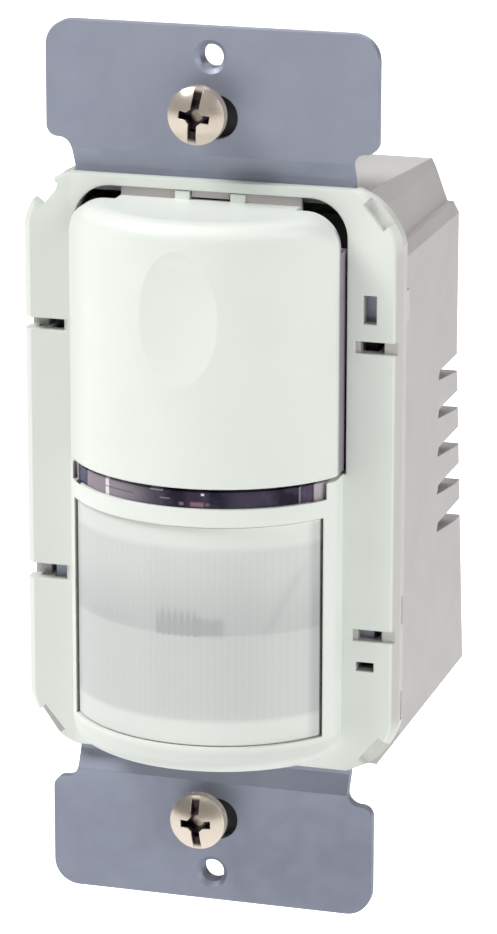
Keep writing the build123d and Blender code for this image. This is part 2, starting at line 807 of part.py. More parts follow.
# Front cover: flange, skirt, lens frame and the openings through them
with BuildPart() as front_cover:
    bevel_y = flange_front + flange_bevel
    loft(
        sections=[cover_outline(flange_front, 0, 0), cover_outline(bevel_y, flange_bevel, 0)],
        ruled=True,
    )
    extrude(cover_outline(seam_y, flange_bevel, 0), amount=seam_y - bevel_y)
    extrude(
        cover_outline(seam_y + overrun, flange_bevel, skirt_wall),
        amount=skirt_depth + overrun,
        mode=Mode.SUBTRACT,
    )
    # Way out for the strap's necks
    with BuildSketch(front_plane(seam_y + overrun)):
        Rectangle(2 * (neck_half_width + neck_gap), 2 * (flange_top + overrun))
    extrude(amount=skirt_depth + overrun, mode=Mode.SUBTRACT)
    # Lens frame and its hollow
    add(bezel_block.part)
    inner_half = face_half_width - bezel_wall
    hollow_floor = bezel_bottom + bezel_bottom_wall
    with BuildSketch(front_plane(wall_plane + overrun)) as button_opening:
        with Locations((0, (gap_top + bezel_top) / 2)):
            Rectangle(2 * opening_half_width, gap_top - bezel_top)
        fillet(button_opening.vertices().group_by(Axis.Y)[-1], radius=opening_top_round)
    extrude(amount=flange_thickness + 2 * overrun, mode=Mode.SUBTRACT)
    extrude(
        dome_section(hollow_floor, inner_half, bezel_wall, wall_plane + overrun),
        amount=bezel_top + overrun - hollow_floor,
        mode=Mode.SUBTRACT,
    )
    # Bar under the indicator strip, and the posts at the strip's ends
    bar_half = inner_half + bezel_wall / 2
    extrude(
        dome_band(lens_opening_top, -bar_half, bar_half, bezel_wall / 2, strip_bar_depth - bezel_wall / 2),
        amount=strip_floor - lens_opening_top,
    )
    for side in (1, -1):
        extrude(
            dome_band(
                strip_floor - near, side * (strip_end + strip_gap), side * bar_half,
                strip_post_setback, strip_post_depth,
            ),
            amount=bezel_top - strip_floor + near,
        )
    strip_room = bezel_top - strip_floor + overrun
    extrude(
        dome_band(
            strip_floor, -strip_half_opening, strip_half_opening, -overrun, overrun + strip_post_setback
        ),
        amount=strip_room,
        mode=Mode.SUBTRACT,
    )
    strip_slot_half = strip_end + strip_gap
    extrude(
        dome_band(
            strip_floor, -strip_slot_half, strip_slot_half, -overrun, overrun + strip_bar_depth
        ),
        amount=strip_room,
        mode=Mode.SUBTRACT,
    )
    # Window for the lens
    extrude(
        dome_band(
            lens_opening_bottom, -lens_opening_half_width, lens_opening_half_width,
            -overrun, overrun + strip_bar_depth,
        ),
        amount=lens_opening_top - lens_opening_bottom,
        mode=Mode.SUBTRACT,
    )
    # Hinge pockets in the rear of the top rail
    pocket_radius = hinge_bead_radius + hinge_clearance
    for side in (1, -1):
        arm_middle = side * (arm_inner_x + arm_outer_x) / 2
        pocket_width = arm_outer_x - arm_inner_x + 2 * arm_side_gap
        with BuildSketch(Plane.YZ.offset(arm_middle)):
            with Locations((hinge_y, hinge_z)):
                Circle(pocket_radius)
            with BuildLine():
                Polyline(
                    (hinge_y - pocket_radius, hinge_z),
                    (hinge_y, hinge_z + pocket_radius),
                    (wall_plane + overrun, hinge_z + pocket_radius),
                    (wall_plane + overrun, gap_top - overrun),
                    (hinge_y - pocket_radius, gap_top - overrun),
                    close=True,
                )
            make_face()
        extrude(amount=pocket_width / 2, both=True, mode=Mode.SUBTRACT)
    # Stop between the hinge arms
    with BuildSketch(front_plane(flange_front + leaf_setback + leaf_thickness)):
        stop_low = button_top + stop_gap
        with Locations((0, (stop_low + gap_top + near) / 2)):
            Rectangle(2 * (arm_inner_x - arm_side_gap), gap_top + near - stop_low)
    extrude(amount=leaf_thickness)
    # Snap fingers
    for side, z, height, relief in notches:
        finger_in = finger_out - finger_thickness
        with BuildSketch(Plane.XY.offset(z - finger_height / 2)):
            with BuildLine():
                tip = wall_plane + finger_length
                Polyline(
                    (side * finger_in, flange_front / 2),
                    (side * finger_out, flange_front / 2),
                    (side * finger_out, tip - finger_barb_length),
                    (side * (finger_out + finger_barb), tip - finger_barb_length),
                    (side * finger_out, tip),
                    (side * finger_in, tip),
                    close=True,
                )
            make_face()
        extrude(amount=finger_height)
    # Side notches, shallow towards the edge on the right and open on the left
    for side, z, height, relief in notches:
        cut_out = side_notch_out if side > 0 else skirt_half_width + overrun
        with BuildSketch(front_plane(wall_plane + finger_length + overrun)):
            with Locations((side * (side_notch_in + cut_out) / 2, z)):
                Rectangle(cut_out - side_notch_in, height)
        extrude(amount=flange_thickness + finger_length + 2 * overrun, mode=Mode.SUBTRACT)
        with BuildSketch(front_plane(flange_front + side_notch_channel)):
            with Locations((side * (side_notch_in + skirt_half_width) / 2, z)):
                Rectangle(skirt_half_width - side_notch_in + overrun, height)
        extrude(amount=side_notch_channel + overrun, mode=Mode.SUBTRACT)
    # Slots on the right of the flange
    with BuildSketch(front_plane(wall_plane + overrun)):
        with Locations((tall_slot_x, tall_slot_z)):
            Rectangle(tall_slot_width, tall_slot_height)
        with Locations((small_slot_x, small_slot_z)):
            Rectangle(small_slot_width, small_slot_height)
    extrude(amount=flange_thickness + 2 * overrun, mode=Mode.SUBTRACT)
    # Recesses in the rounded corners, shallow on the right and open on the left
    for sx in (1, -1):
        recess_floor = corner_recess_step if sx > 0 else flange_thickness + skirt_depth + overrun
        for sz, top in ((1, flange_top), (-1, flange_bottom)):
            run = flange_half_width - flange_corner_in
            angle = degrees(atan2(sz * run, sx * flange_corner_drop))
            nx, nz = cos(radians(angle)), sin(radians(angle))
            reach = flange_bevel + overrun + corner_recess_depth
            from_chord = flange_corner_bulge - corner_recess_depth + reach / 2
            recess_x = sx * (flange_half_width + flange_corner_in) / 2 + from_chord * nx
            recess_z = sz * (top - flange_corner_drop / 2) + from_chord * nz
            with BuildSketch(front_plane(flange_front + recess_floor)):
                with Locations(Location((recess_x, recess_z, 0), (0, 0, angle))):
                    Rectangle(reach, corner_recess_length)
            extrude(amount=recess_floor + overrun, mode=Mode.SUBTRACT)
    # Tab and fine grooves on the right of the skirt
    with BuildSketch(front_plane(seam_y + side_tab_depth)):
        with Locations((skirt_half_width - skirt_wall / 2, side_tab_z)):
            Rectangle(skirt_wall, side_tab_height)
    extrude(amount=side_tab_depth)
    with BuildSketch(front_plane(seam_y - skirt_groove_depth)):
        for z in skirt_groove_zs:
            with Locations((skirt_half_width, z)):
                Rectangle(2 * skirt_groove_depth, skirt_groove_height)
    extrude(amount=skirt_groove_width, mode=Mode.SUBTRACT)
    front_cover.part.label = "front_cover"
export_step(front_cover.part, "parts/front_cover.step")


# Outside and hollow of the push button
with BuildPart() as button_block:
    extrude(
        dome_section(button_bottom - overrun, face_half_width, 0, wall_plane - button_skirt_gap),
        amount=button_top - button_bottom + overrun,
    )
    top_sides = button_block.edges().filter_by(Axis.Y).filter_by(
        lambda e: abs(e.center().Z - button_top) < near
    )
    fillet(top_sides, radius=button_top_round)
    dome_face = button_block.faces().filter_by(GeomType.CYLINDER).sort_by(Axis.Y)[0]
    rim = dome_face.edges().filter_by(lambda e: e.center().Z > button_bottom)
    fillet(rim, radius=dome_edge_round)

inner_top = button_top - button_wall
with BuildPart() as button_hollow:
    inner_bottom = button_bottom + button_wall
    extrude(
        dome_section(inner_bottom, face_half_width - button_wall, button_wall, wall_plane + overrun),
        amount=inner_top - inner_bottom,
    )
    top_sides = button_hollow.edges().filter_by(Axis.Y).filter_by(
        lambda e: abs(e.center().Z - inner_top) < near
    )
    fillet(top_sides, radius=button_top_round - button_wall)


# Push button: the upper part of the domed front, with a thumb dish, hinge arms and a post
with BuildPart() as push_button:
    add(button_block.part)
    add(button_hollow.part, mode=Mode.SUBTRACT)
    with Locations((0, dome_apex_y + dish_depth - dish_radius, dish_height)):
        Sphere(dish_radius, mode=Mode.SUBTRACT)
    # The rear edge leans forward towards the bottom, where the button travels
    skirt_rear = wall_plane - button_skirt_gap
    with BuildSketch(Plane.YZ):
        with BuildLine():
            Polyline(
                (skirt_rear, inner_top),
                (wall_plane + overrun, inner_top),
                (wall_plane + overrun, button_bottom - 2 * overrun),
                (skirt_rear - button_travel, button_bottom - 2 * overrun),
                close=True,
            )
        make_face()
    extrude(amount=face_half_width + overrun, both=True, mode=Mode.SUBTRACT)
    with BuildSketch(front_plane(wall_plane)):
        with Locations((0, button_bottom - overrun)):
            Rectangle(2 * (face_half_width + overrun), 2 * overrun)
    extrude(amount=wall_plane - dome_apex_y + overrun, mode=Mode.SUBTRACT)
    # The corners of the skirt beside the hinge are cut away to a lip
    corner_back = wall_plane - dome_side_y - button_corner_lip
    corner_width = face_half_width + overrun - leaf_half_width
    corner_height = button_top + overrun - button_corner_z
    with BuildSketch(front_plane(wall_plane)):
        for side in (1, -1):
            with Locations(
                (side * (leaf_half_width + corner_width / 2), button_corner_z + corner_height / 2)
            ):
                Rectangle(corner_width, corner_height)
    extrude(amount=corner_back, mode=Mode.SUBTRACT)
    # Leaves that close the gap over the button, beside the hinge arms
    leaf_top = gap_top - leaf_gap
    with BuildSketch(front_plane(flange_front + leaf_setback + leaf_thickness)):
        for side in (1, -1):
            with Locations((side * (arm_outer_x + leaf_half_width) / 2, (inner_top + leaf_top) / 2)):
                Rectangle(leaf_half_width - arm_outer_x, leaf_top - inner_top)
    extrude(amount=leaf_thickness)
    # Hinge arms with their beads
    arm_middle = (arm_inner_x + arm_outer_x) / 2
    arm_rear = hinge_y + arm_thickness / 2
    for side in (1, -1):
        with BuildSketch(Plane.YZ.offset(side * arm_middle)):
            with BuildLine():
                arm_front = flange_front + arm_block_setback
                Polyline(
                    (arm_front, inner_top),
                    (arm_rear, inner_top),
                    (arm_rear, hinge_z),
                    (hinge_y - arm_thickness / 2, hinge_z),
                    (hinge_y - arm_thickness / 2, leaf_top),
                    (arm_front, leaf_top),
                    close=True,
                )
            make_face()
            with Locations((hinge_y, hinge_z)):
                Circle(hinge_bead_radius)
        extrude(amount=(arm_outer_x - arm_inner_x) / 2, both=True)
    # Post over the tactile switch, stiffened by a cross of ribs
    post_rear = plunger_front - press_post_gap
    post_root = dome_apex_y + (button_wall + dish_depth) / 2
    with BuildSketch(front_plane(post_rear)):
        with Locations((0, tact_z)):
            Circle(press_post_radius)
    extrude(amount=post_rear - post_root)
    rib_rear = post_rear - press_rib_setback
    with BuildSketch(front_plane(rib_rear)):
        with Locations((0, tact_z)):
            Rectangle(2 * press_rib_length, press_rib_width)
            Rectangle(press_rib_width, 2 * press_rib_length)
    extrude(amount=rib_rear - post_root)
    push_button.part.label = "push_button"
export_step(push_button.part, "parts/push_button.step")


# Smoked indicator strip: it stands on the bar and hooks behind it
with BuildPart() as indicator_window:
    strip_base = strip_floor + strip_gap
    strip_rear = strip_bar_depth + strip_gap + strip_lip_depth
    extrude(
        dome_band(strip_base, -strip_end, strip_end, strip_setback, strip_rear - strip_setback),
        amount=bezel_top - strip_base,
    )
    extrude(
        dome_band(
            strip_floor - strip_lip_drop, -strip_end, strip_end,
            strip_bar_depth + strip_gap, strip_lip_depth,
        ),
        amount=strip_lip_drop + 2 * strip_gap,
    )
    indicator_window.part.label = "indicator_window"
export_step(indicator_window.part, "parts/indicator_window.step")


# Fresnel lens: a curved sheet, lips behind the frame, legs to the inner frame, grooves inside
with BuildPart() as fresnel_lens:
    lens_low = lens_opening_bottom + lens_edge_gap
    lens_high = lens_opening_top - lens_edge_gap
    lens_rear = lens_setback + lens_wall
    extrude(
        dome_band(lens_low, -lens_half_width, lens_half_width, lens_setback, lens_wall),
        amount=lens_high - lens_low,
    )
    lip_half = lens_half_width - lens_border
    top_lip_rear = strip_bar_depth + lens_lip_gap + lens_lip_depth
    low_lip_rear = bezel_wall + lens_lip_gap + lens_lip_depth
    extrude(
        dome_band(
            lens_high - lens_border, -lip_half, lip_half, lens_setback, top_lip_rear - lens_setback
        ),
        amount=lens_border,
    )
    extrude(
        dome_band(
            lens_high - lens_border, -lip_half, lip_half, strip_bar_depth + lens_lip_gap, lens_lip_depth
        ),
        amount=lens_border + lens_edge_gap + lens_lip_reach,
    )
    extrude(
        dome_band(lens_low, -lip_half, lip_half, lens_setback, low_lip_rear - lens_setback),
        amount=lens_border,
    )
    extrude(
        dome_band(
            lens_opening_bottom - lens_lip_reach, -lip_half, lip_half,
            bezel_wall + lens_lip_gap, lens_lip_depth,
        ),
        amount=lens_lip_reach + lens_edge_gap + lens_border,
    )
    leg_front = dome_y(lens_leg_x, lens_setback + lens_wall / 2)
    with BuildSketch(front_plane(strap_rear)):
        for side in (1, -1):
            for z in (lens_high - lens_leg_height / 2, lens_low + lens_leg_height / 2):
                with Locations((side * lens_leg_x, z)):
                    Rectangle(lens_leg_width, lens_leg_height)
    extrude(amount=strap_rear - leg_front)
    groove_inset = lens_rear - lens_groove_depth
    row_edges = zip(lens_row_heights, lens_row_heights[1:], lens_row_counts)
    for row_top, row_bottom, count in row_edges:
        for i in range(1, count):
            x = lip_half * (2 * i / count - 1)
            extrude(
                dome_band(
                    row_bottom, x - lens_groove_width / 2, x + lens_groove_width / 2,
                    groove_inset, 2 * lens_groove_depth,
                ),
                amount=row_top - row_bottom,
                mode=Mode.SUBTRACT,
            )
    for z in lens_row_heights:
        groove_half = lens_leg_x - lens_leg_width
        extrude(
            dome_band(
                z - lens_groove_width / 2, -groove_half, groove_half,
                groove_inset, 2 * lens_groove_depth,
            ),
            amount=lens_groove_width,
            mode=Mode.SUBTRACT,
        )
    fresnel_lens.part.label = "fresnel_lens"
export_step(fresnel_lens.part, "parts/fresnel_lens.step")


# Inner frame: a black plate behind the strap, with heat staked pegs that carry the control board
with BuildPart() as inner_frame:
    with BuildSketch(front_plane(frame_rear)):
        with BuildLine():
            Polyline(
                (frame_half_width, frame_half_height - frame_corner_z),
                (frame_half_width - frame_corner_x, frame_half_height),
                (frame_corner_x - frame_half_width, frame_half_height),
                (-frame_half_width, frame_half_height - frame_corner_z),
                (-frame_half_width, frame_corner_z - frame_half_height),
                (frame_corner_x - frame_half_width, -frame_half_height),
                (frame_half_width - frame_corner_x, -frame_half_height),
                (frame_half_width, frame_corner_z - frame_half_height),
                close=True,
            )
        make_face()
        tact_sight = tact_size + 2 * frame_clearance
        with Locations((0, tact_z)):
            RectangleRounded(tact_sight, tact_sight, frame_sight_round, mode=Mode.SUBTRACT)
        trimmer_sight = trimmer_size + 2 * frame_clearance
        with Locations((0, trimmer_z)):
            RectangleRounded(
                2 * trimmer_spacing + trimmer_sight, trimmer_sight, frame_sight_round, mode=Mode.SUBTRACT
            )
        with Locations((0, sensor_z)):
            Circle(sensor_base_radius + frame_clearance, mode=Mode.SUBTRACT)
        sight_left = photocell_x - photocell_width / 2 - frame_clearance
        sight_right = lamp_x + lamp_flange_radius + frame_clearance
        with Locations(((sight_left + sight_right) / 2, lamp_z)):
            RectangleRounded(
                sight_right - sight_left, photocell_height + 2 * frame_clearance, frame_sight_round,
                mode=Mode.SUBTRACT,
            )
    extrude(amount=frame_thickness)
    for radius, front, height in (
        (stake_shoulder_radius, frame_rear, stake_shoulder_height),
        (stake_radius, control_front, board_thickness),
        (stake_head_radius, control_rear, stake_head_height),
    ):
        with BuildSketch(front_plane(front + height)):
            with Locations(*stakes):
                Circle(radius)
        extrude(amount=height)
    inner_frame.part.label = "inner_frame"
export_step(inner_frame.part, "parts/inner_frame.step")


# Rear housing: an open box with a slanting back, columns and screw posts
with BuildPart() as rear_housing:
    add(housing_block(seam_y, 0))
    add(housing_block(wall_plane, housing_wall), mode=Mode.SUBTRACT)
    extrude(
        strap_frame_outline(strap_rear, neck_gap),
        amount=strap_rear - seam_y + overrun,
        mode=Mode.SUBTRACT,
    )
    # Columns that clamp the inner frame, and posts under the power board
    with BuildSketch(front_plane(frame_rear)):
        with Locations(*columns):
            Rectangle(column_size, column_size)
    extrude(until=Until.NEXT, dir=(0, 1, 0))
    with BuildSketch(front_plane(power_rear)):
        with Locations(*posts):
            Circle(post_radius)
    extrude(until=Until.NEXT, dir=(0, 1, 0))
    bore_depth = board_screw_length - board_thickness + board_screw_end_gap
    with BuildSketch(front_plane(power_rear + bore_depth)):
        with Locations(*posts):
            Circle(board_screw_radius + board_screw_clearance)
    extrude(amount=bore_depth + overrun, mode=Mode.SUBTRACT)
    # Pockets for the cover's snap barbs
    barb_front = wall_plane + finger_length - finger_barb_length - finger_gap
    barb_rear = wall_plane + finger_length + finger_gap
    pocket_out = finger_out + finger_barb + finger_gap
    for side, z, height, relief in notches:
        with BuildSketch(front_plane(barb_rear)):
            with Locations((side * (pocket_out + finger_in) / 2, z)):
                Rectangle(pocket_out - finger_in, finger_height + 2 * finger_gap)
        extrude(amount=barb_rear - barb_front, mode=Mode.SUBTRACT)
    # Seat of the cover's side tab
    tab_in = skirt_half_width - skirt_wall - side_tab_gap
    with BuildSketch(front_plane(seam_y + side_tab_depth + side_tab_gap)):
        with Locations(((tab_in + skirt_half_width) / 2, side_tab_z)):
            Rectangle(skirt_half_width - tab_in, side_tab_height + 2 * side_tab_gap)
    extrude(amount=side_tab_depth + side_tab_gap + overrun, mode=Mode.SUBTRACT)
    # Vents along both rear edges
    vent_rear = housing_depth_bottom + overrun
    for side in (1, -1):
        for i in range(vent_count):
            z = vent_first_z - i * vent_spacing
            with BuildSketch(Plane.YZ.offset(side * (housing_half_width + overrun))):
                with BuildLine():
                    Polyline(
                        (vent_inner_y, z),
                        (vent_inner_y - vent_inner_slant, z - vent_inner_height),
                        (housing_depth_top, z - vent_outer_height),
                        (vent_rear, z - vent_outer_height),
                        (vent_rear, z),
                        close=True,
                    )
                make_face()
            extrude(amount=-side * (vent_depth + overrun), mode=Mode.SUBTRACT)
    # Wire exits in the upper back, each with a low collar
    exits = [(i * lead_hole_spacing, lead_hole_z) for i in (-1, 0, 1)]
    with BuildSketch(front_plane(housing_depth_top + lead_collar_height)):
        with Locations(*exits):
            Circle(lead_hole_radius + lead_collar_wall)
    extrude(amount=lead_collar_height)
    with BuildSketch(front_plane(housing_depth_top + lead_collar_height + overrun)):
        with Locations(*exits):
            Circle(lead_hole_radius)
    extrude(amount=lead_collar_height + housing_wall + 2 * overrun, mode=Mode.SUBTRACT)
    rear_housing.part.label = "rear_housing"
export_step(rear_housing.part, "parts/rear_housing.step")


# Control board, held by the inner frame's pegs
with BuildPart() as control_board:
    with BuildSketch(front_plane(control_rear)):
        RectangleRounded(2 * control_half_width, 2 * control_half_height, board_corner)
        with Locations(*stakes):
            Circle(stake_radius + stake_clearance, mode=Mode.SUBTRACT)
        with Locations(*control_leads_at):
            Circle(lead_radius + lead_clearance, mode=Mode.SUBTRACT)
        with Locations(*[(x, header_z) for x in header_xs]):
            Circle(header_pin_width / sqrt(2) + lead_clearance, mode=Mode.SUBTRACT)
    extrude(amount=board_thickness)
    control_board.part.label = "control_board"
export_step(control_board.part, "parts/control_board.step")


# Power board, screwed to the housing's posts
with BuildPart() as power_board:
    with BuildSketch(front_plane(power_rear)):
        RectangleRounded(2 * power_half_width, 2 * power_half_height, board_corner)
        with Locations(*posts):
            Circle(board_screw_radius + board_screw_clearance, mode=Mode.SUBTRACT)
        with Locations(*[(x, header_z) for x in header_xs]):
            Circle(header_pin_width / sqrt(2) + lead_clearance, mode=Mode.SUBTRACT)
    extrude(amount=board_thickness)
    power_board.part.label = "power_board"
export_step(power_board.part, "parts/power_board.step")


# Screws of the power board
with BuildPart() as board_screws:
    with BuildSketch(front_plane(power_front)):
        with Locations(*posts):
            Circle(board_screw_head_radius)
    extrude(amount=board_screw_head_height)
    heads = board_screws.faces().filter_by(Axis.Y).group_by(Axis.Y)[0].edges()
    chamfer(heads, length=board_screw_chamfer)
    with BuildSketch(front_plane(power_front + board_screw_length)):
        with Locations(*posts):
            Circle(board_screw_radius)
    extrude(amount=board_screw_length)
    with BuildSketch(front_plane(power_front - board_screw_head_height + board_screw_slot_depth)):
        with Locations(*posts):
            Rectangle(2 * board_screw_head_radius, board_screw_slot_width)
    extrude(amount=board_screw_slot_depth + overrun, mode=Mode.SUBTRACT)
    board_screws.part.label = "board_screws"
export_step(board_screws.part, "parts/board_screws.step")


# Tactile switch
with BuildPart() as tact_switch:
    with BuildSketch(front_plane(control_front)):
        with Locations((0, tact_z)):
            Rectangle(tact_size, tact_size)
    extrude(amount=tact_height)
    uprights = tact_switch.edges().filter_by(Axis.Y)
    chamfer(uprights, length=tact_corner)
    with BuildSketch(front_plane(tact_front + tact_bore_depth)):
        with Locations((0, tact_z)):
            Circle(tact_plunger_radius + running_gap)
    extrude(amount=tact_bore_depth + overrun, mode=Mode.SUBTRACT)
    tact_switch.part.label = "tact_switch"
export_step(tact_switch.part, "parts/tact_switch.step")


# Plunger of the tactile switch
with BuildPart() as tact_plunger:
    with BuildSketch(front_plane(plunger_front + tact_plunger_length)):
        with Locations((0, tact_z)):
            Circle(tact_plunger_radius)
    extrude(amount=tact_plunger_length)
    tip_rim = tact_plunger.faces().sort_by(Axis.Y)[0].edges()
    chamfer(tip_rim, length=tact_plunger_chamfer)
    tact_plunger.part.label = "tact_plunger"
export_step(tact_plunger.part, "parts/tact_plunger.step")


# Trimmer bodies
with BuildPart() as trimmer_bodies:
    with BuildSketch(front_plane(control_front)):
        with Locations(*[(x, trimmer_z) for x in trimmer_xs]):
            Rectangle(trimmer_size, trimmer_size)
    extrude(amount=trimmer_height)
    uprights = trimmer_bodies.edges().filter_by(Axis.Y)
    chamfer(uprights, length=trimmer_corner)
    with BuildSketch(front_plane(trimmer_front + rotor_bore_depth)):
        with Locations(*[(x, trimmer_z) for x in trimmer_xs]):
            Circle(rotor_shaft_radius + running_gap)
    extrude(amount=rotor_bore_depth + overrun, mode=Mode.SUBTRACT)
    trimmer_bodies.part.label = "trimmer_bodies"
export_step(trimmer_bodies.part, "parts/trimmer_bodies.step")


def trimmer_rotor(x):
    """Slotted rotor of the trimmer at x, with a pointer notch at its upper rim."""
    rotor_rear = trimmer_front - rotor_lift
    with BuildPart() as rotor:
        with BuildSketch(front_plane(rotor_rear)):
            with Locations((x, trimmer_z)):
                Circle(rotor_radius)
            with Locations((x, trimmer_z + rotor_radius)):
                Rectangle(rotor_slot_width, 2 * rotor_flat, mode=Mode.SUBTRACT)
        extrude(amount=rotor_height)
        with BuildSketch(front_plane(trimmer_front + rotor_shaft_depth)):
            with Locations((x, trimmer_z)):
                Circle(rotor_shaft_radius)
        extrude(amount=rotor_shaft_depth + rotor_lift)
        with BuildSketch(front_plane(rotor_rear - rotor_height + rotor_slot_depth)):
            with Locations((x, trimmer_z)):
                Rectangle(rotor_slot_width, rotor_slot_length)
        extrude(amount=rotor_slot_depth + overrun, mode=Mode.SUBTRACT)
    return rotor.part


# Trimmer rotors, each turned on its own
for name, x in zip(("time_rotor", "light_rotor", "range_rotor"), trimmer_xs):
    with BuildPart() as rotor_part:
        add(trimmer_rotor(x))
        rotor_part.part.label = name
    export_step(rotor_part.part, "parts/" + name + ".step")


# Motion sensor: spacer, metal can with its window, and leads
with BuildPart() as sensor_spacer:
    with BuildSketch(front_plane(control_front)):
        with Locations((0, sensor_z)):
            Circle(sensor_spacer_radius)
    extrude(amount=sensor_spacer_height)
    sensor_spacer.part.label = "sensor_spacer"
export_step(sensor_spacer.part, "parts/sensor_spacer.step")

can_base = control_front - sensor_spacer_height
can_front = can_base - sensor_base_height - sensor_can_height
with BuildPart() as sensor_can:
    with BuildSketch(front_plane(can_base)):
        with Locations((0, sensor_z)):
            Circle(sensor_base_radius)
    extrude(amount=sensor_base_height)
    with BuildSketch(front_plane(can_base - sensor_base_height)):
        with Locations((0, sensor_z)):
            Circle(sensor_can_radius)
    extrude(amount=sensor_can_height)
    can_rim = sensor_can.faces().sort_by(Axis.Y)[0].edges()
    fillet(can_rim, radius=sensor_can_round)
    with BuildSketch(front_plane(can_front + sensor_window_depth)):
        with Locations((0, sensor_z)):
            Rectangle(sensor_window_width, sensor_window_height)
    extrude(amount=sensor_window_depth + overrun, mode=Mode.SUBTRACT)
    sensor_can.part.label = "sensor_can"
export_step(sensor_can.part, "parts/sensor_can.step")

with BuildPart() as sensor_window:
    with BuildSketch(front_plane(can_front + sensor_window_depth)):
        with Locations((0, sensor_z)):
            Rectangle(sensor_window_width, sensor_window_height)
    extrude(amount=sensor_window_depth)
    sensor_window.part.label = "sensor_window"
export_step(sensor_window.part, "parts/sensor_window.step")


# Wires of the sensor, the lamp and the photocell
with BuildPart() as component_leads:
    tail = control_rear + lead_tail
    add(round_leads(sensor_leads_at, control_front, tail, lead_radius))
    add(round_leads(lamp_leads_at, lamp_base_y, tail, lead_radius))
    photocell_rear = photocell_front_y + photocell_thickness
    add(round_leads(photocell_leads_at, photocell_rear, tail, lead_radius))
    component_leads.part.label = "component_leads"
export_step(component_leads.part, "parts/component_leads.step")


# Status lamp behind the indicator strip
with BuildPart() as status_lamp:
    with BuildSketch(front_plane(lamp_base_y)):
        with Locations((lamp_x, lamp_z)):
            Circle(lamp_flange_radius)
    extrude(amount=lamp_flange_height)
    with BuildSketch(front_plane(lamp_base_y)):
        with Locations((lamp_x, lamp_z)):
            Circle(lamp_radius)
    extrude(amount=lamp_body_length)
    with Locations((lamp_x, lamp_base_y - lamp_body_length, lamp_z)):
        Sphere(lamp_radius)
    status_lamp.part.label = "status_lamp"
export_step(status_lamp.part, "parts/status_lamp.step")


# Photocell behind the indicator strip
with BuildPart() as photocell:
    with BuildSketch(front_plane(photocell_front_y + photocell_thickness)):
        with Locations((photocell_x, lamp_z)):
            RectangleRounded(photocell_width, photocell_height, photocell_round)
    extrude(amount=photocell_thickness)
    photocell.part.label = "photocell"
export_step(photocell.part, "parts/photocell.step")


# Controller chip on the rear of the control board
with BuildPart() as control_chip:
    chip_front = control_rear + chip_standoff
    with BuildSketch(front_plane(chip_front + chip_height)):
        with Locations((chip_x, chip_z)):
            Rectangle(chip_length, chip_width)
    extrude(amount=chip_height)
    leg_span = chip_width + 2 * chip_leg_reach
    with BuildSketch(front_plane(chip_front + chip_standoff)):
        for i in range(chip_leg_count):
            with Locations((chip_x + (i - (chip_leg_count - 1) / 2) * chip_leg_spacing, chip_z)):
                Rectangle(chip_leg_width, leg_span)
    extrude(amount=2 * chip_standoff)
    control_chip.part.label = "control_chip"
export_step(control_chip.part, "parts/control_chip.step")


# Header between the boards: two plastic strips and the pins through them
with BuildPart() as header_strips:
    header_length = header_pins * header_spacing
    pin_room = header_pin_width + 2 * lead_clearance
    for back in (power_front, control_rear + header_body_height):
        with BuildSketch(front_plane(back)):
            with Locations((0, header_z)):
                Rectangle(header_length, header_spacing)
            with Locations(*[(x, header_z) for x in header_xs]):
                Rectangle(pin_room, pin_room, mode=Mode.SUBTRACT)
        extrude(amount=header_body_height)
    header_strips.part.label = "header_strips"
export_step(header_strips.part, "parts/header_strips.step")

with BuildPart() as header_contacts:
    pin_rear = power_rear + header_pin_tail
    pin_front = control_front - header_pin_front_tail
    with BuildSketch(front_plane(pin_rear)):
        with Locations(*[(x, header_z) for x in header_xs]):
            Rectangle(header_pin_width, header_pin_width)
    extrude(amount=pin_rear - pin_front)
    header_contacts.part.label = "header_contacts"
export_step(header_contacts.part, "parts/header_contacts.step")


# Relay
with BuildPart() as relay:
    with BuildSketch(front_plane(power_front)):
        with Locations((relay_x, relay_z)):
            Rectangle(relay_width, relay_length)
    extrude(amount=relay_height)
    fillet(relay.edges().filter_by(Axis.Y), radius=relay_round)
    fillet(relay.faces().sort_by(Axis.Y)[0].edges(), radius=relay_top_round)
    relay.part.label = "relay"
export_step(relay.part, "parts/relay.step")


# Electrolytic capacitors, standing, each with a crimp groove
with BuildPart() as can_capacitors:
    for z in can_capacitor_zs:
        with BuildSketch(front_plane(power_front)):
            with Locations((can_capacitor_x, z)):
                Circle(can_capacitor_radius)
        extrude(amount=can_capacitor_height)
    fillet(can_capacitors.faces().filter_by(Axis.Y).group_by(Axis.Y)[0].edges(), radius=can_top_round)
    for z in can_capacitor_zs:
        with BuildSketch(front_plane(power_front - can_groove_height)):
            with Locations((can_capacitor_x, z)):
                Circle(can_capacitor_radius + overrun)
                Circle(can_capacitor_radius - can_groove_depth, mode=Mode.SUBTRACT)
        extrude(amount=can_groove_width, mode=Mode.SUBTRACT)
    can_capacitors.part.label = "can_capacitors"
export_step(can_capacitors.part, "parts/can_capacitors.step")


# Film capacitor
with BuildPart() as film_capacitor:
    with BuildSketch(front_plane(power_front)):
        with Locations((film_x, film_z)):
            Rectangle(film_width, film_thickness)
    extrude(amount=film_height)
    fillet(film_capacitor.edges().filter_by(Axis.Y), radius=film_round)
    film_capacitor.part.label = "film_capacitor"
export_step(film_capacitor.part, "parts/film_capacitor.step")


# Choke: a spool with its winding
with BuildPart() as choke_core:
    for radius, front, height in (
        (choke_flange_radius, power_front, choke_flange_thickness),
        (choke_core_radius, power_front, choke_height),
        (choke_flange_radius, power_front - choke_height + choke_flange_thickness, choke_flange_thickness),
    ):
        with BuildSketch(front_plane(front)):
            with Locations((choke_x, choke_z)):
                Circle(radius)
        extrude(amount=height)
    choke_core.part.label = "choke_core"
export_step(choke_core.part, "parts/choke_core.step")

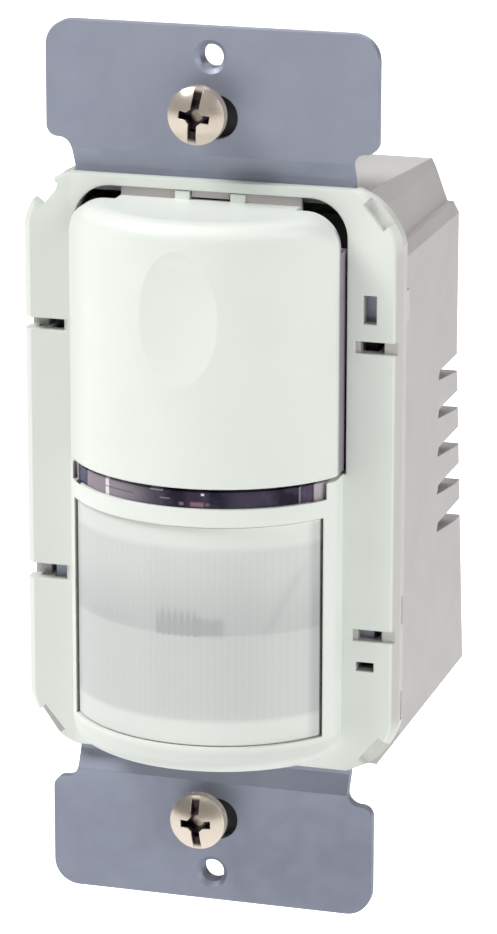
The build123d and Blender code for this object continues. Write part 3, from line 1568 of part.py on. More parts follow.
with BuildPart() as choke_winding:
    with BuildSketch(front_plane(power_front - choke_flange_thickness)):
        with Locations((choke_x, choke_z)):
            Circle(choke_winding_radius)
            Circle(choke_core_radius, mode=Mode.SUBTRACT)
    extrude(amount=choke_height - 2 * choke_flange_thickness)
    choke_winding.part.label = "choke_winding"
export_step(choke_winding.part, "parts/choke_winding.step")


# Varistor: a disc on two legs
with BuildPart() as varistor:
    disc_y = power_front - varistor_lift - varistor_radius
    with BuildSketch(Plane.XY.offset(varistor_z - varistor_thickness / 2)):
        with Locations((varistor_x, disc_y)):
            Circle(varistor_radius)
    extrude(amount=varistor_thickness)
    fillet(varistor.edges().filter_by(GeomType.CIRCLE), radius=varistor_round)
    legs_at = [(varistor_x + s * varistor_lead_spacing / 2, varistor_z) for s in (1, -1)]
    add(round_leads(legs_at, disc_y, power_front, small_lead_radius))
    varistor.part.label = "varistor"
export_step(varistor.part, "parts/varistor.step")


# Fuse, lying on two legs
with BuildPart() as fuse:
    fuse_y = power_front - fuse_lift - fuse_radius
    with BuildSketch(Plane.YZ.offset(fuse_x - fuse_length / 2)):
        with Locations((fuse_y, fuse_z)):
            Circle(fuse_radius)
    extrude(amount=fuse_length)
    legs_at = [(fuse_x + s * (fuse_length / 2 - fuse_radius), fuse_z) for s in (1, -1)]
    add(round_leads(legs_at, fuse_y, power_front, small_lead_radius))
    fuse.part.label = "fuse"
export_step(fuse.part, "parts/fuse.step")


# Rectifier diodes, lying on their legs
with BuildPart() as diodes:
    diode_y = power_front - diode_lift - diode_radius
    with BuildSketch(Plane.XY.offset(diode_z - diode_length / 2)):
        with Locations(*[(x, diode_y) for x in diode_xs]):
            Circle(diode_radius)
    extrude(amount=diode_length)
    leg_z = diode_length / 2 - diode_radius
    legs_at = [(x, diode_z + s * leg_z) for x in diode_xs for s in (1, -1)]
    add(round_leads(legs_at, diode_y, power_front, small_lead_radius))
    diodes.part.label = "diodes"
export_step(diodes.part, "parts/diodes.step")


# Wire terminals on the rear of the power board, behind the wire exits
with BuildPart() as wire_terminals:
    with BuildSketch(front_plane(power_rear + tab_length)):
        for x, z in exits:
            with Locations((x, tab_z)):
                Rectangle(tab_thickness, tab_width)
    extrude(amount=tab_length)
    wire_terminals.part.label = "wire_terminals"
export_step(wire_terminals.part, "parts/wire_terminals.step")
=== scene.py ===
# %% [markdown]
# # A wall switch with a motion sensor
# This lesson dresses a finished CAD model of a wall switch so that it looks like its photograph.
# The shapes come from CAD and stay as they are. What is left to make here is the light, the
# finish of every piece, and a few details too small for CAD, such as the threads of the screws.
# All lengths are in metres in the scene, and the values below are written in millimetres.

# %% Load the model
import bpy
import bmesh
from math import radians, sin, cos, pi
from mathutils import Matrix, Vector


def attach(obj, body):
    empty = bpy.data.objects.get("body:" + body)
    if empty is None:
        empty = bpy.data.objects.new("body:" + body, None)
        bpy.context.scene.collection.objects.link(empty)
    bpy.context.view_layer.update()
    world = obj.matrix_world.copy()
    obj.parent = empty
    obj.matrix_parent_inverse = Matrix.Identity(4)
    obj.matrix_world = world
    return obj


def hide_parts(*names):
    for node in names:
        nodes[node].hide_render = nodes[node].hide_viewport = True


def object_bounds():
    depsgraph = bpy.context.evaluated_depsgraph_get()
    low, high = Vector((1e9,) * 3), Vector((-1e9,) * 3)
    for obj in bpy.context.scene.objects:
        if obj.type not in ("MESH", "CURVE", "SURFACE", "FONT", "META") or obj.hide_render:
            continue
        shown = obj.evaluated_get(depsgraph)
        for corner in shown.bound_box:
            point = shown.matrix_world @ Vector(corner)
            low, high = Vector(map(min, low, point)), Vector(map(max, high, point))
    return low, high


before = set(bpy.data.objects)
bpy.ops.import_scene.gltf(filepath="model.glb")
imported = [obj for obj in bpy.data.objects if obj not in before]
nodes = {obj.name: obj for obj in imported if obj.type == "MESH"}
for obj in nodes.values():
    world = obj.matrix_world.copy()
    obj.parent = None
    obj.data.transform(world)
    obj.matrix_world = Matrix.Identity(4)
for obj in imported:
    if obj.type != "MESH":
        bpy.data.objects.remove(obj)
cad_low, cad_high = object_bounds()
mm = 0.001
print("pieces from CAD:", len(nodes))
print("size in mm:", [round((h - l) / mm, 2) for l, h in zip(cad_low, cad_high)])

# %% [markdown]
# ## The camera
# A camera could be placed by eye, but a photograph can be measured instead. The holes of the strap
# have standard spacings, so fitting them to their places in the picture gives the angle, the
# distance and the lens. The camera looks from the right and from a little above.

# %% Camera
view_azimuth = radians(16.636)
view_elevation = radians(15.941)
view_roll = radians(0.075)
view_distance = 489.21 * mm
view_shift_right = 4.303 * mm
view_shift_up = 0.965 * mm
strap_setback = 1.2 * mm
focal_pixels = 4280.2
picture_height = 934
film_height = 36.0

back = Vector((
    sin(view_azimuth) * cos(view_elevation),
    -cos(view_azimuth) * cos(view_elevation),
    sin(view_elevation),
))
level_right = Vector((cos(view_azimuth), sin(view_azimuth), 0))
level_up = back.cross(level_right)
right = cos(view_roll) * level_right + sin(view_roll) * level_up
up = -sin(view_roll) * level_right + cos(view_roll) * level_up

camera_data = bpy.data.cameras.new("studio_camera")
camera_data.sensor_fit = "VERTICAL"
camera_data.sensor_height = film_height
camera_data.lens = focal_pixels * film_height / picture_height
camera_data.clip_start = 0.01
camera = bpy.data.objects.new("studio_camera", camera_data)
bpy.context.scene.collection.objects.link(camera)
place = view_shift_right * right + view_shift_up * up + view_distance * back
place.y -= strap_setback
camera.matrix_world = Matrix((
    (right.x, up.x, back.x, place.x),
    (right.y, up.y, back.y, place.y),
    (right.z, up.z, back.z, place.z),
    (0, 0, 0, 1),
))
bpy.context.scene.camera = camera
print("camera at", [round(c / mm, 1) for c in place], "mm, lens", round(camera_data.lens, 1))

# %% [markdown]
# ## Floor and light
# A product shot has a plain pale floor and large soft lights. The photograph tells where they were:
# the rounded top of the button is the brightest place and the left of the front is brighter than
# the right, so the main panel is high up on the left. A second one overhead, one low on the right
# for the deep side, and one behind for the other views make up the rest. The world is white where
# the camera sees it, but lights the switch only a little. The standard view transform keeps white
# white.

# %% Floor
floor_half = 4.0
floor_drop = 90 * mm
floor_level = cad_low.z - floor_drop

floor_mesh = bpy.data.meshes.new("studio_floor")
corners = [(-1, -1), (1, -1), (1, 1), (-1, 1)]
floor_points = [(x * floor_half, y * floor_half, floor_level) for x, y in corners]
floor_mesh.from_pydata(floor_points, [], [(0, 1, 2, 3)])
studio_floor = bpy.data.objects.new("studio_floor", floor_mesh)
bpy.context.scene.collection.objects.link(studio_floor)

paper = bpy.data.materials.new("floor_paper")
paper.use_nodes = True
paper_shader = paper.node_tree.nodes["Principled BSDF"]
paper_shader.inputs["Base Color"].default_value = (0.95, 0.95, 0.95, 1)
paper_shader.inputs["Roughness"].default_value = 0.9
paper_shader.inputs["Specular IOR Level"].default_value = 0.1
paper_shader.inputs["Emission Color"].default_value = (1, 1, 1, 1)
seen = paper.node_tree.nodes.new("ShaderNodeLightPath")
glow_seen = paper.node_tree.nodes.new("ShaderNodeMapRange")
glow_seen.inputs["To Min"].default_value = 0.26
glow_seen.inputs["To Max"].default_value = 1.0
paper.node_tree.links.new(seen.outputs["Is Camera Ray"], glow_seen.inputs["Value"])
paper.node_tree.links.new(glow_seen.outputs["Result"], paper_shader.inputs["Emission Strength"])
floor_mesh.materials.append(paper)

# %% Lights
def soft_panel(name, azimuth, elevation, distance, size, watts, colour):
    """A square light at an azimuth from the front and an elevation, aimed at the switch."""
    data = bpy.data.lights.new(name, "AREA")
    data.shape = "SQUARE"
    data.size = size
    data.energy = watts
    data.color = colour
    lamp = bpy.data.objects.new(name, data)
    a, e = radians(azimuth), radians(elevation)
    lamp.location = distance * Vector((sin(a) * cos(e), -cos(a) * cos(e), sin(e)))
    lamp.rotation_euler = lamp.location.to_track_quat("Z", "Y").to_euler()
    bpy.context.scene.collection.objects.link(lamp)
    return lamp


soft_panel("key_panel", -60, 50, 1.1, 0.45, 10.6, (1.0, 1.0, 1.0))
soft_panel("top_panel", -30, 75, 1.1, 0.45, 1.5, (1.0, 1.0, 1.0))
soft_panel("side_panel", 70, 20, 1.4, 0.9, 9.0, (1.0, 1.0, 1.0))
soft_panel("back_panel", 180, 35, 1.4, 0.9, 5.0, (1.0, 1.0, 1.0))

world = bpy.data.worlds.new("studio_air")
world.use_nodes = True
air = world.node_tree
lighting_air = air.nodes["Background"]
lighting_air.inputs["Color"].default_value = (1, 1, 1, 1)
lighting_air.inputs["Strength"].default_value = 0.1
seen_air = air.nodes.new("ShaderNodeBackground")
seen_air.inputs["Color"].default_value = (1, 1, 1, 1)
ray = air.nodes.new("ShaderNodeLightPath")
either = air.nodes.new("ShaderNodeMixShader")
air.links.new(ray.outputs["Is Camera Ray"], either.inputs["Fac"])
air.links.new(lighting_air.outputs["Background"], either.inputs[1])
air.links.new(seen_air.outputs["Background"], either.inputs[2])
air.links.new(either.outputs["Shader"], air.nodes["World Output"].inputs["Surface"])
bpy.context.scene.world = world
bpy.context.scene.view_settings.view_transform = "Standard"

# %% [markdown]
# ## Building a finish from nodes
# A flat colour never looks real. Moulded plastic has a fine grain in its surface, a slight drift
# in its colour, and edges that are a little round. Each of these is one small branch of nodes:
# noise through a bump for the grain, slow noise for the drift, and a bevel normal for the edges.
# The helpers below build these branches, working in millimetres so that the grain has a real size.

# %% Helpers for node branches
def start_finish(name):
    """A new material with its shader, and the surface position in millimetres."""
    material = bpy.data.materials.new(name)
    material.use_nodes = True
    tree = material.node_tree
    shader = tree.nodes["Principled BSDF"]
    where = tree.nodes.new("ShaderNodeTexCoord")
    to_mm = tree.nodes.new("ShaderNodeVectorMath")
    to_mm.operation = "SCALE"
    to_mm.inputs["Scale"].default_value = 1 / mm
    tree.links.new(where.outputs["Object"], to_mm.inputs[0])
    return material, tree, shader, to_mm.outputs[0]


def noise(tree, position, size, detail=2.0):
    """Noise whose blotches are about size millimetres across."""
    node = tree.nodes.new("ShaderNodeTexNoise")
    node.inputs["Scale"].default_value = 1 / size
    node.inputs["Detail"].default_value = detail
    tree.links.new(position, node.inputs["Vector"])
    return node.outputs["Fac"]


def spread(tree, value, low, high, from_low=0.3, from_high=0.7):
    """Maps a value onto the range from low to high, smoothly."""
    node = tree.nodes.new("ShaderNodeMapRange")
    node.interpolation_type = "SMOOTHSTEP"
    limits = {"From Min": from_low, "From Max": from_high, "To Min": low, "To Max": high}
    for name, number in limits.items():
        node.inputs[name].default_value = number
    tree.links.new(value, node.inputs["Value"])
    return node.outputs["Result"]


def blend(tree, amount, first, second):
    """Mixes two colours, each a tuple or a socket, by amount."""
    node = tree.nodes.new("ShaderNodeMix")
    node.data_type = "RGBA"
    tree.links.new(amount, node.inputs["Factor"])
    for name, colour in (("A", first), ("B", second)):
        socket = [i for i in node.inputs if i.name == name and i.type == "RGBA"][0]
        if isinstance(colour, tuple):
            socket.default_value = (*colour, 1)
        else:
            tree.links.new(colour, socket)
    return [o for o in node.outputs if o.type == "RGBA"][0]


def surface(tree, shader, height, depth, edge):
    """Bump of depth millimetres from height, over edges rounded by edge millimetres."""
    bump = tree.nodes.new("ShaderNodeBump")
    bump.inputs["Distance"].default_value = depth * mm
    tree.links.new(height, bump.inputs["Height"])
    if edge > 0:
        soft_edge = tree.nodes.new("ShaderNodeBevel")
        soft_edge.inputs["Radius"].default_value = edge * mm
        tree.links.new(soft_edge.outputs["Normal"], bump.inputs["Normal"])
    tree.links.new(bump.outputs["Normal"], shader.inputs["Normal"])


def moulded_finish(name, colour, drift, rough, grain, depth, edge, metal=0.0, glow=0.0, marks=None):
    """A finish with grained surface, drifting colour and slightly uneven gloss.

    marks is a function that paints over the colour by place.
    """
    material, tree, shader, position = start_finish(name)
    tone = blend(tree, spread(tree, noise(tree, position, 9.0), 0, 1), colour, drift)
    if marks:
        tone = marks(tree, position, tone)
    tree.links.new(tone, shader.inputs["Base Color"])
    gloss = spread(tree, noise(tree, position, 3.5, 4.0), rough - 0.04, rough + 0.05)
    tree.links.new(gloss, shader.inputs["Roughness"])
    shader.inputs["Metallic"].default_value = metal
    if glow > 0:
        shader.inputs["Subsurface Weight"].default_value = glow
        shader.inputs["Subsurface Radius"].default_value = (1.0, 0.9, 0.8)
        shader.inputs["Subsurface Scale"].default_value = 1.2 * mm
    surface(tree, shader, noise(tree, position, grain, 3.0), depth, edge)
    return material


def dress(node, material):
    """Takes a CAD piece's own materials away and gives it this finish."""
    mesh = nodes[node].data
    mesh.materials.clear()
    mesh.materials.append(material)


# %% [markdown]
# ## Painting by place
# Some places need a tone of their own, such as a shaded wall or a mark inside the lens. They are
# chosen with windows: smooth steps that are 1 between two places and 0 outside. Windows on x and
# on z, multiplied, make a soft rectangle, which is called a patch here.

# %% Windows to paint by place
def axis_value(tree, position, axis):
    """X, Y or Z of the surface position, in millimetres."""
    split = tree.nodes.new("ShaderNodeSeparateXYZ")
    tree.links.new(position, split.inputs[0])
    return split.outputs[axis]


def combine(tree, operation, first, second):
    """Two values, each a number or a socket, put together by a math node."""
    node = tree.nodes.new("ShaderNodeMath")
    node.operation = operation
    for socket, value in zip(node.inputs, (first, second)):
        if isinstance(value, (int, float)):
            socket.default_value = value
        else:
            tree.links.new(value, socket)
    return node.outputs[0]


def product(tree, first, second):
    """Two values multiplied, which for two masks leaves the place they share."""
    return combine(tree, "MULTIPLY", first, second)


def window(tree, value, low, high, soft):
    """1 between low and high, fading over soft at both ends."""
    rise = spread(tree, value, 0, 1, low - soft / 2, low + soft / 2)
    fall = spread(tree, value, 1, 0, high - soft / 2, high + soft / 2)
    return product(tree, rise, fall)


def patch(tree, x, z, spot, strength):
    """Window on x and z: spot is x from, x to, z from, z to and how soft it is."""
    x_low, x_high, z_low, z_high, soft = spot
    both = product(tree, window(tree, x, x_low, x_high, soft), window(tree, z, z_low, z_high, soft))
    return product(tree, both, strength)


# %% [markdown]
# ## White plastic
# The front cover and the button are the same glossy white, very slightly green, with a fine
# grain. The rear housing is the same white plastic in a plainer, more matte finish, and painted
# shade turns its whole colour a darker, warmer grey. Edges and set-back walls are given painted
# shade as greyer, slightly lilac tones in the next two steps. They are found by how far they lie
# behind the front, outside it or from an axis.

# %% Whites and distances
front_white = (0.80, 0.84, 0.785)
front_drift = (0.78, 0.82, 0.765)
# Painted shade: the housing is the same white, given a darker, warmer tone.
housing_shaded_tone = (0.545, 0.525, 0.51)
housing_shaded_drift = (0.53, 0.51, 0.50)
# Lilac tone of painted shade on set-back walls: the gap above the button and the hinge leaf.
painted_shade_lilac = (0.60, 0.55, 0.56)
mark_soft = 0.3


def away(tree, value):
    """The distance of a coordinate from the middle plane."""
    return combine(tree, "ABSOLUTE", value, 0)


def sum_of_squares(tree, first, second):
    """The squares of two values added, for the distance from an axis."""
    squares = [combine(tree, "POWER", away(tree, value), 2) for value in (first, second)]
    return combine(tree, "ADD", *squares)


print("front white:", front_white, "housing:", housing_shaded_tone)

# %% [markdown]
# ## Marks of the cover
# All of these marks are painted shade. The bevels outside the flange and the walls of its
# notches turn grey, and so do the gap above the button, the rim at the very bottom and the whole
# left of the flange. Beside the dark strip stand shaded posts, two tones on the left and one on
# the right, which are painted as patches.

# %% Cover marks
flange_front_y = -1.6
opening_half = 15.8
edge_fade_z = (26.5, 29.5)
top_gap_z = (31.0, 33.6)
left_flange_shade_x = (-17.0, -15.9)
rim_z = (-29.4, -28.4)
rim_y = (-2.6, -2.0)
# Tones of painted shade for the edges, the left of the flange and the bottom rim.
painted_shade_edge = (0.59, 0.575, 0.55)
left_flange_shade = (0.73, 0.765, 0.715)
rim_shade_white = (0.70, 0.735, 0.69)
# Patches of painted shade on the posts beside the strip.
shaded_strip_posts = (
    ((-14.35, -13.5, -0.4, 1.7, 0.1), 1.0, (0.055, 0.05, 0.095)),
    ((-15.2, -14.35, -0.4, 1.7, 0.1), 0.9, (0.50, 0.45, 0.47)),
    ((13.5, 15.0, -0.35, 1.7, 0.1), 0.9, (0.42, 0.375, 0.40)),
)


def cover_marks(tree, position, tone):
    """Painted shade: greyer bevels, notch walls, top gap, left side and rim, and posts beside the
    strip.
    """
    x, y, z = (axis_value(tree, position, axis) for axis in "XYZ")
    outside = spread(tree, away(tree, x), 0, 1, opening_half + 0.4, opening_half + 0.7)
    behind = spread(tree, y, 0, 1, flange_front_y + 0.08, flange_front_y + 0.3)
    level = spread(tree, away(tree, z), 1, 0.45, *edge_fade_z)
    edge = product(tree, product(tree, outside, behind), level)
    tone = blend(tree, edge, tone, painted_shade_edge)
    # Painted shade in the gap above the button.
    shaded_top_gap = product(tree, behind, window(tree, z, *top_gap_z, mark_soft))
    shaded_top_gap = product(tree, shaded_top_gap, window(tree, x, -opening_half, opening_half, mark_soft))
    tone = blend(tree, shaded_top_gap, tone, painted_shade_lilac)
    # Painted shade over the whole left of the flange.
    tone = blend(tree, spread(tree, x, 1, 0, *left_flange_shade_x), tone, left_flange_shade)
    # Painted shade on the rim at the very bottom.
    shade_low_down = spread(tree, z, 1, 0, *rim_z)
    on_dome = spread(tree, y, 1, 0, *rim_y)
    tone = blend(tree, product(tree, shade_low_down, on_dome), tone, rim_shade_white)
    for spot, strength, colour in shaded_strip_posts:
        tone = blend(tree, patch(tree, x, z, spot, strength), tone, colour)
    return tone


print("patches beside the strip:", len(shaded_strip_posts))

# %% [markdown]
# ## Marks of the button
# The side walls of the button lie in shade near their foot, and that shade is painted. Its front
# is part of a cylinder, so how far a point lies below that cylinder tells where its top edge rounds
# off, and a painted highlight goes there as a bright band. The left of the front gets painted
# shade as a greyer tone, and so does the thin leaf that the button hangs on.

# %% Button marks
button_half = 15.5
dome_radius = 17.907
dome_centre_y = 3.927
foot_y = (-4.3, -3.3)
highlight_below = (0.15, 1.2)
highlight_z = (26.0, 28.0)
highlight_y = (-4.6, -3.8)
left_button_shade_x = (-14.2, -11.8)
leaf_y = (-1.3, -1.15)
leaf_z = (31.6, 32.2)
# Tones of painted shade for the walls and the left side, and of a painted highlight at the top edge.
mauve_shade = (0.28, 0.245, 0.285)
shoulder_highlight = (0.825, 0.86, 0.81)
left_button_shade = (0.70, 0.74, 0.69)


def button_marks(tree, position, tone):
    """Painted shade on the side walls, the left side and the hinge leaf, and a painted highlight band
    at the top edge.
    """
    x, y, z = (axis_value(tree, position, axis) for axis in "XYZ")
    walls = spread(tree, away(tree, x), 0, 1, button_half - 0.45, button_half - 0.1)
    foot = spread(tree, y, 0, 1, *foot_y)
    tone = blend(tree, product(tree, walls, foot), tone, mauve_shade)
    # Painted highlight: a bright band where the top edge rounds off.
    square = sum_of_squares(tree, x, combine(tree, "SUBTRACT", y, dome_centre_y))
    below = combine(tree, "SUBTRACT", dome_radius, combine(tree, "SQRT", square, 0))
    highlight_band = window(tree, below, *highlight_below, mark_soft)
    highlight_band = product(tree, highlight_band, spread(tree, z, 0, 1, *highlight_z))
    highlight_band = product(tree, highlight_band, spread(tree, y, 1, 0, *highlight_y))
    tone = blend(tree, highlight_band, tone, shoulder_highlight)
    # Painted shade on the left of the front.
    tone = blend(tree, spread(tree, x, 0.65, 0, *left_button_shade_x), tone, left_button_shade)
    # Painted shade on the hinge leaf.
    shaded_leaf = product(tree, spread(tree, y, 0, 1, *leaf_y), spread(tree, z, 0, 1, *leaf_z))
    return blend(tree, shaded_leaf, tone, painted_shade_lilac)


print("bright band starts at z", highlight_z[0], "mm")

# %% [markdown]
# ## The white finishes
# Cover and button share one gloss and differ only in their marks. A little light goes into this
# plastic and comes out again nearby, which is the glow. The housing has neither marks nor glow.

# %% Cover, button and housing
glossy = dict(rough=0.36, grain=0.16, depth=0.006, edge=0.22, glow=0.08)
matte = dict(rough=0.5, grain=0.2, depth=0.012, edge=0.18)
cover_white = moulded_finish("cover_white", front_white, front_drift, marks=cover_marks, **glossy)
button_white = moulded_finish("button_white", front_white, front_drift, marks=button_marks, **glossy)
housing_shaded_white = moulded_finish("housing_shaded_white", housing_shaded_tone, housing_shaded_drift, **matte)
dress("front_cover", cover_white)
dress("push_button", button_white)
dress("rear_housing", housing_shaded_white)
print("white finishes:", cover_white.name, button_white.name, housing_shaded_white.name)

# %% [markdown]
# ## The lens
# The lens is milky plastic, smooth outside and cut into small facets inside. The facets show
# through as faint upright stripes, and where they look at the sensor they show a darker patch.
# Glassy shading alone would lose these at this size, so they are painted by where they lie.

# %% Stripes of the lens
lens_milk, tree, shader, position = start_finish("lens_milk")
x = axis_value(tree, position, "X")
z = axis_value(tree, position, "Z")
stripes = tree.nodes.new("ShaderNodeTexWave")
stripes.bands_direction = "X"
stripes.inputs["Scale"].default_value = 0.42
stripes.inputs["Distortion"].default_value = 1.5
stripes.inputs["Detail"].default_value = 2.0
tree.links.new(position, stripes.inputs["Vector"])

facet_rows = (-25.4, -5.1)
facets = window(tree, z, *facet_rows, 0.9)
ribs = product(tree, combine(tree, "SUBTRACT", stripes.outputs["Fac"], 0.5), facets)
print("facets from z", facet_rows[0], "to", facet_rows[1], "mm")

# %% [markdown]
# ## Where the lens is darker
# One value, the shade, says how far the tone goes from milky white to grey. Each line adds one
# place to it: the rows of facets, the striped patch in front of the sensor, the upper row, painted
# shade on the left side, four soft spots, the last of them a painted shadow in the gap along the
# right edge, and a slanting streak.

# %% Shades of the lens
lens_light = (0.77, 0.815, 0.758)
lens_dark = (0.42, 0.43, 0.435)
# Soft spots; the last one is a painted shadow in the gap along the right edge.
lens_spots_and_edge_shade = (
    ((2.0, 5.1, -15.3, -13.2, 1.0), 0.28),
    ((-3.5, 9.0, -25.0, -5.6, 4.0), 0.09),
    ((-12.0, -5.0, -14.9, -13.8, 1.3), 0.06),
    ((13.6, 15.2, -28.2, -2.6, 0.9), 0.42),
)
sight = product(tree, window(tree, x, -2.6, 2.4, 0.7), window(tree, z, -15.3, -10.0, 0.5))
sight = product(tree, sight, spread(tree, z, 0.5, 0.0, -14.6, -11.4))
sight = product(tree, sight, combine(tree, "ADD", product(tree, ribs, 0.8), 0.9))
upper_row = product(tree, spread(tree, z, 0.20, -0.10, -15.0, -6.0), window(tree, z, -15.2, -5.1, 0.4))
shade = combine(tree, "ADD", product(tree, facets, 0.36), sight)
shade = combine(tree, "ADD", shade, upper_row)
# Painted shade on the left side of the lens.
shade = combine(tree, "ADD", shade, spread(tree, x, 0.30, 0.04, -15.0, 3.0))
for spot, strength in lens_spots_and_edge_shade:
    shade = combine(tree, "ADD", shade, patch(tree, x, z, spot, strength))
slant = combine(tree, "ADD", x, product(tree, z, -0.46))
streak = product(tree, window(tree, slant, 16.0, 17.0, 1.0), window(tree, z, -15.2, -7.5, 3.0))
shade = combine(tree, "ADD", shade, product(tree, streak, 0.12))
shade = combine(tree, "ADD", shade, product(tree, ribs, 0.035))
colour = blend(tree, shade, lens_light, lens_dark)
tree.links.new(colour, shader.inputs["Base Color"])
shader.inputs["Roughness"].default_value = 0.32
shader.inputs["Subsurface Weight"].default_value = 0.15
shader.inputs["Subsurface Radius"].default_value = (1.0, 1.0, 1.0)
shader.inputs["Subsurface Scale"].default_value = 1.0 * mm
surface(tree, shader, noise(tree, position, 0.3, 3.0), 0.004, 0.1)
dress("fresnel_lens", lens_milk)
print("lens nodes:", len(tree.nodes))

# %% [markdown]
# ## The indicator strip
# The strip is smoked plastic, and what the eye sees in it is what lies behind. The left part is
# grey, the middle is almost black with a few reddish glints and a white spark, which are painted
# highlights, and there are thin bright lines on the left and on the right. They are painted on
# the strip, patch by patch.

# %% Strip finish
strip_smoke, tree, shader, position = start_finish("strip_smoke")
x = axis_value(tree, position, "X")
z = axis_value(tree, position, "Z")
smear = noise(tree, position, 1.6, 5.0)
smoke_left = (0.28, 0.24, 0.28)
smoke_right = (0.010, 0.007, 0.024)
smear_tone = (0.25, 0.22, 0.29)
tone = blend(tree, spread(tree, x, 0, 1, -8.5, -0.5), smoke_left, smoke_right)
for spot, strength, colour in (
    ((5.6, 9.8, -1.0, 2.0, 2.4), 0.9, (0.060, 0.048, 0.085)),
    ((0.8, 3.3, -1.0, 2.0, 1.0), 0.8, (0.045, 0.030, 0.055)),
    ((-13.8, -12.4, -1.0, 2.0, 0.2), 0.95, (0.030, 0.032, 0.075)),
    ((12.8, 13.9, -1.0, 2.0, 0.15), 0.9, (0.085, 0.060, 0.105)),
    ((12.5, 12.7, -1.0, 2.0, 0.1), 0.7, (0.30, 0.26, 0.32)),
    ((-9.45, -8.95, -1.0, 2.0, 0.15), 1.0, (0.80, 0.78, 0.76)),
    ((-9.6, -5.5, 0.62, 0.78, 0.1), 0.6, (0.08, 0.065, 0.10)),
    ((-3.4, -1.8, 1.45, 1.6, 0.1), 0.7, (0.50, 0.47, 0.55)),
    ((-2.2, -1.0, 0.6, 0.72, 0.1), 0.6, (0.35, 0.33, 0.40)),
    # Reddish glints and a white spark: painted highlights.
    ((0.1, 0.6, 0.0, 0.35, 0.25), 0.8, (0.30, 0.16, 0.22)),
    ((1.4, 2.9, -0.1, 0.4, 0.35), 0.7, (0.32, 0.19, 0.24)),
    ((3.1, 3.5, 0.0, 0.35, 0.25), 0.7, (0.26, 0.15, 0.20)),
    ((2.6, 2.95, 1.2, 1.45, 0.15), 1.0, (0.95, 0.95, 0.95)),
):
    tone = blend(tree, patch(tree, x, z, spot, strength), tone, colour)
tone = blend(tree, spread(tree, smear, 0, 0.12, 0.45, 0.7), tone, smear_tone)
tree.links.new(tone, shader.inputs["Base Color"])
shader.inputs["Roughness"].default_value = 0.2
shader.inputs["Specular IOR Level"].default_value = 0.15
surface(tree, shader, noise(tree, position, 0.5, 3.0), 0.003, 0.06)
dress("indicator_window", strip_smoke)
print("strip nodes:", len(tree.nodes))

# %% [markdown]
# ## The steel strap
# The strap is folded from zinc-coated sheet. Zinc is dull and a little blue, with soft mottling
# and fine rolling lines along the strip, so it is a metal with a high roughness. Painted shade
# darkens its lower end.

# %% Strap finish
strap_zinc, tree, shader, position = start_finish("strap_zinc")
zinc_light = (0.335, 0.355, 0.44)
zinc_dark = (0.315, 0.337, 0.42)
zinc_shade_low = (0.27, 0.29, 0.365)
mottle = spread(tree, noise(tree, position, 5.0, 4.0), 0, 1)
sheet = blend(tree, mottle, zinc_light, zinc_dark)
# Painted shade: the lower end of the strap is darker.
shade_low_down = spread(tree, axis_value(tree, position, "Z"), 1, 0, -46.0, -30.0)
tree.links.new(blend(tree, shade_low_down, sheet, zinc_shade_low), shader.inputs["Base Color"])
tree.links.new(spread(tree, noise(tree, position, 2.0, 4.0), 0.46, 0.6), shader.inputs["Roughness"])
shader.inputs["Metallic"].default_value = 0.45
stretch = tree.nodes.new("ShaderNodeMapping")
stretch.inputs["Scale"].default_value = (1.0, 1.0, 0.06)
tree.links.new(position, stretch.inputs["Vector"])
surface(tree, shader, noise(tree, stretch.outputs["Vector"], 0.18, 3.0), 0.006, 0.15)
dress("mounting_strap", strap_zinc)
print("strap nodes:", len(tree.nodes))

# %% [markdown]
# ## The screws
# CAD gives the screws plain shanks. A real one has a thread, which shows where it stands out
# behind the strap. The head is kept from CAD, and the shank is made again as a surface whose
# radius rises and falls along a helix, so that the thread is real geometry and not a picture.

# %% Threaded shanks
screw_places = ((-0.6, 42.37), (-0.6, -40.97))
head_rear = -3.5
neck_end = 1.2
shank_end = 21.9
neck_radius = 1.5
thread_pitch = 0.794
crest_radius = 1.72
root_radius = 1.33
root_share = 0.12
flank_share = 0.70
tip_share = 0.55
tip_length = 1.6
crease_angle = radians(28)
steps_per_turn = 8
sides = 36


def thread_radius(y, turn):
    """Radius of the shank at y, at a share of a turn round it: a plain neck, then the thread."""
    if y < neck_end:
        return neck_radius
    phase = (y / thread_pitch - turn) % 1.0
    rise = 1 - abs(2 * phase - 1)
    crest = min(1.0, max(0.0, (rise - root_share) / flank_share))
    return root_radius + (crest_radius - root_radius) * crest


shell = bmesh.new()
shell.from_mesh(nodes["mounting_screws"].data)
bmesh.ops.remove_doubles(shell, verts=shell.verts, dist=0.001 * mm)
behind = [v for v in shell.verts if v.co.y > (head_rear + 0.1) * mm]
bmesh.ops.delete(shell, geom=behind, context="VERTS")
for centre_x, centre_z in screw_places:
    rings = []
    count = int((shank_end - head_rear) / thread_pitch * steps_per_turn)
    for i in range(count + 1):
        y = head_rear + (shank_end - head_rear) * i / count
        taper = min(1.0, tip_share + (shank_end - y) / tip_length)
        ring = []
        for k in range(sides):
            angle = 2 * pi * k / sides
            r = thread_radius(y, k / sides) * taper
            point = Vector((centre_x + r * cos(angle), y, centre_z + r * sin(angle))) * mm
            ring.append(shell.verts.new(point))
        rings.append(ring)
    for low_ring, high_ring in zip(rings, rings[1:]):
        for k in range(sides):
            n = (k + 1) % sides
            shell.faces.new((low_ring[k], high_ring[k], high_ring[n], low_ring[n]))
    shell.faces.new(rings[-1][::-1])
bmesh.ops.recalc_face_normals(shell, faces=shell.faces)
for face in shell.faces:
    face.smooth = True
for edge in shell.edges:
    if len(edge.link_faces) == 2 and edge.calc_face_angle() > crease_angle:
        edge.smooth = False
screw_mesh = bpy.data.meshes.new("threaded_screws")
shell.to_mesh(screw_mesh)
shell.free()
threaded_screws = bpy.data.objects.new("threaded_screws", screw_mesh)
bpy.context.scene.collection.objects.link(threaded_screws)
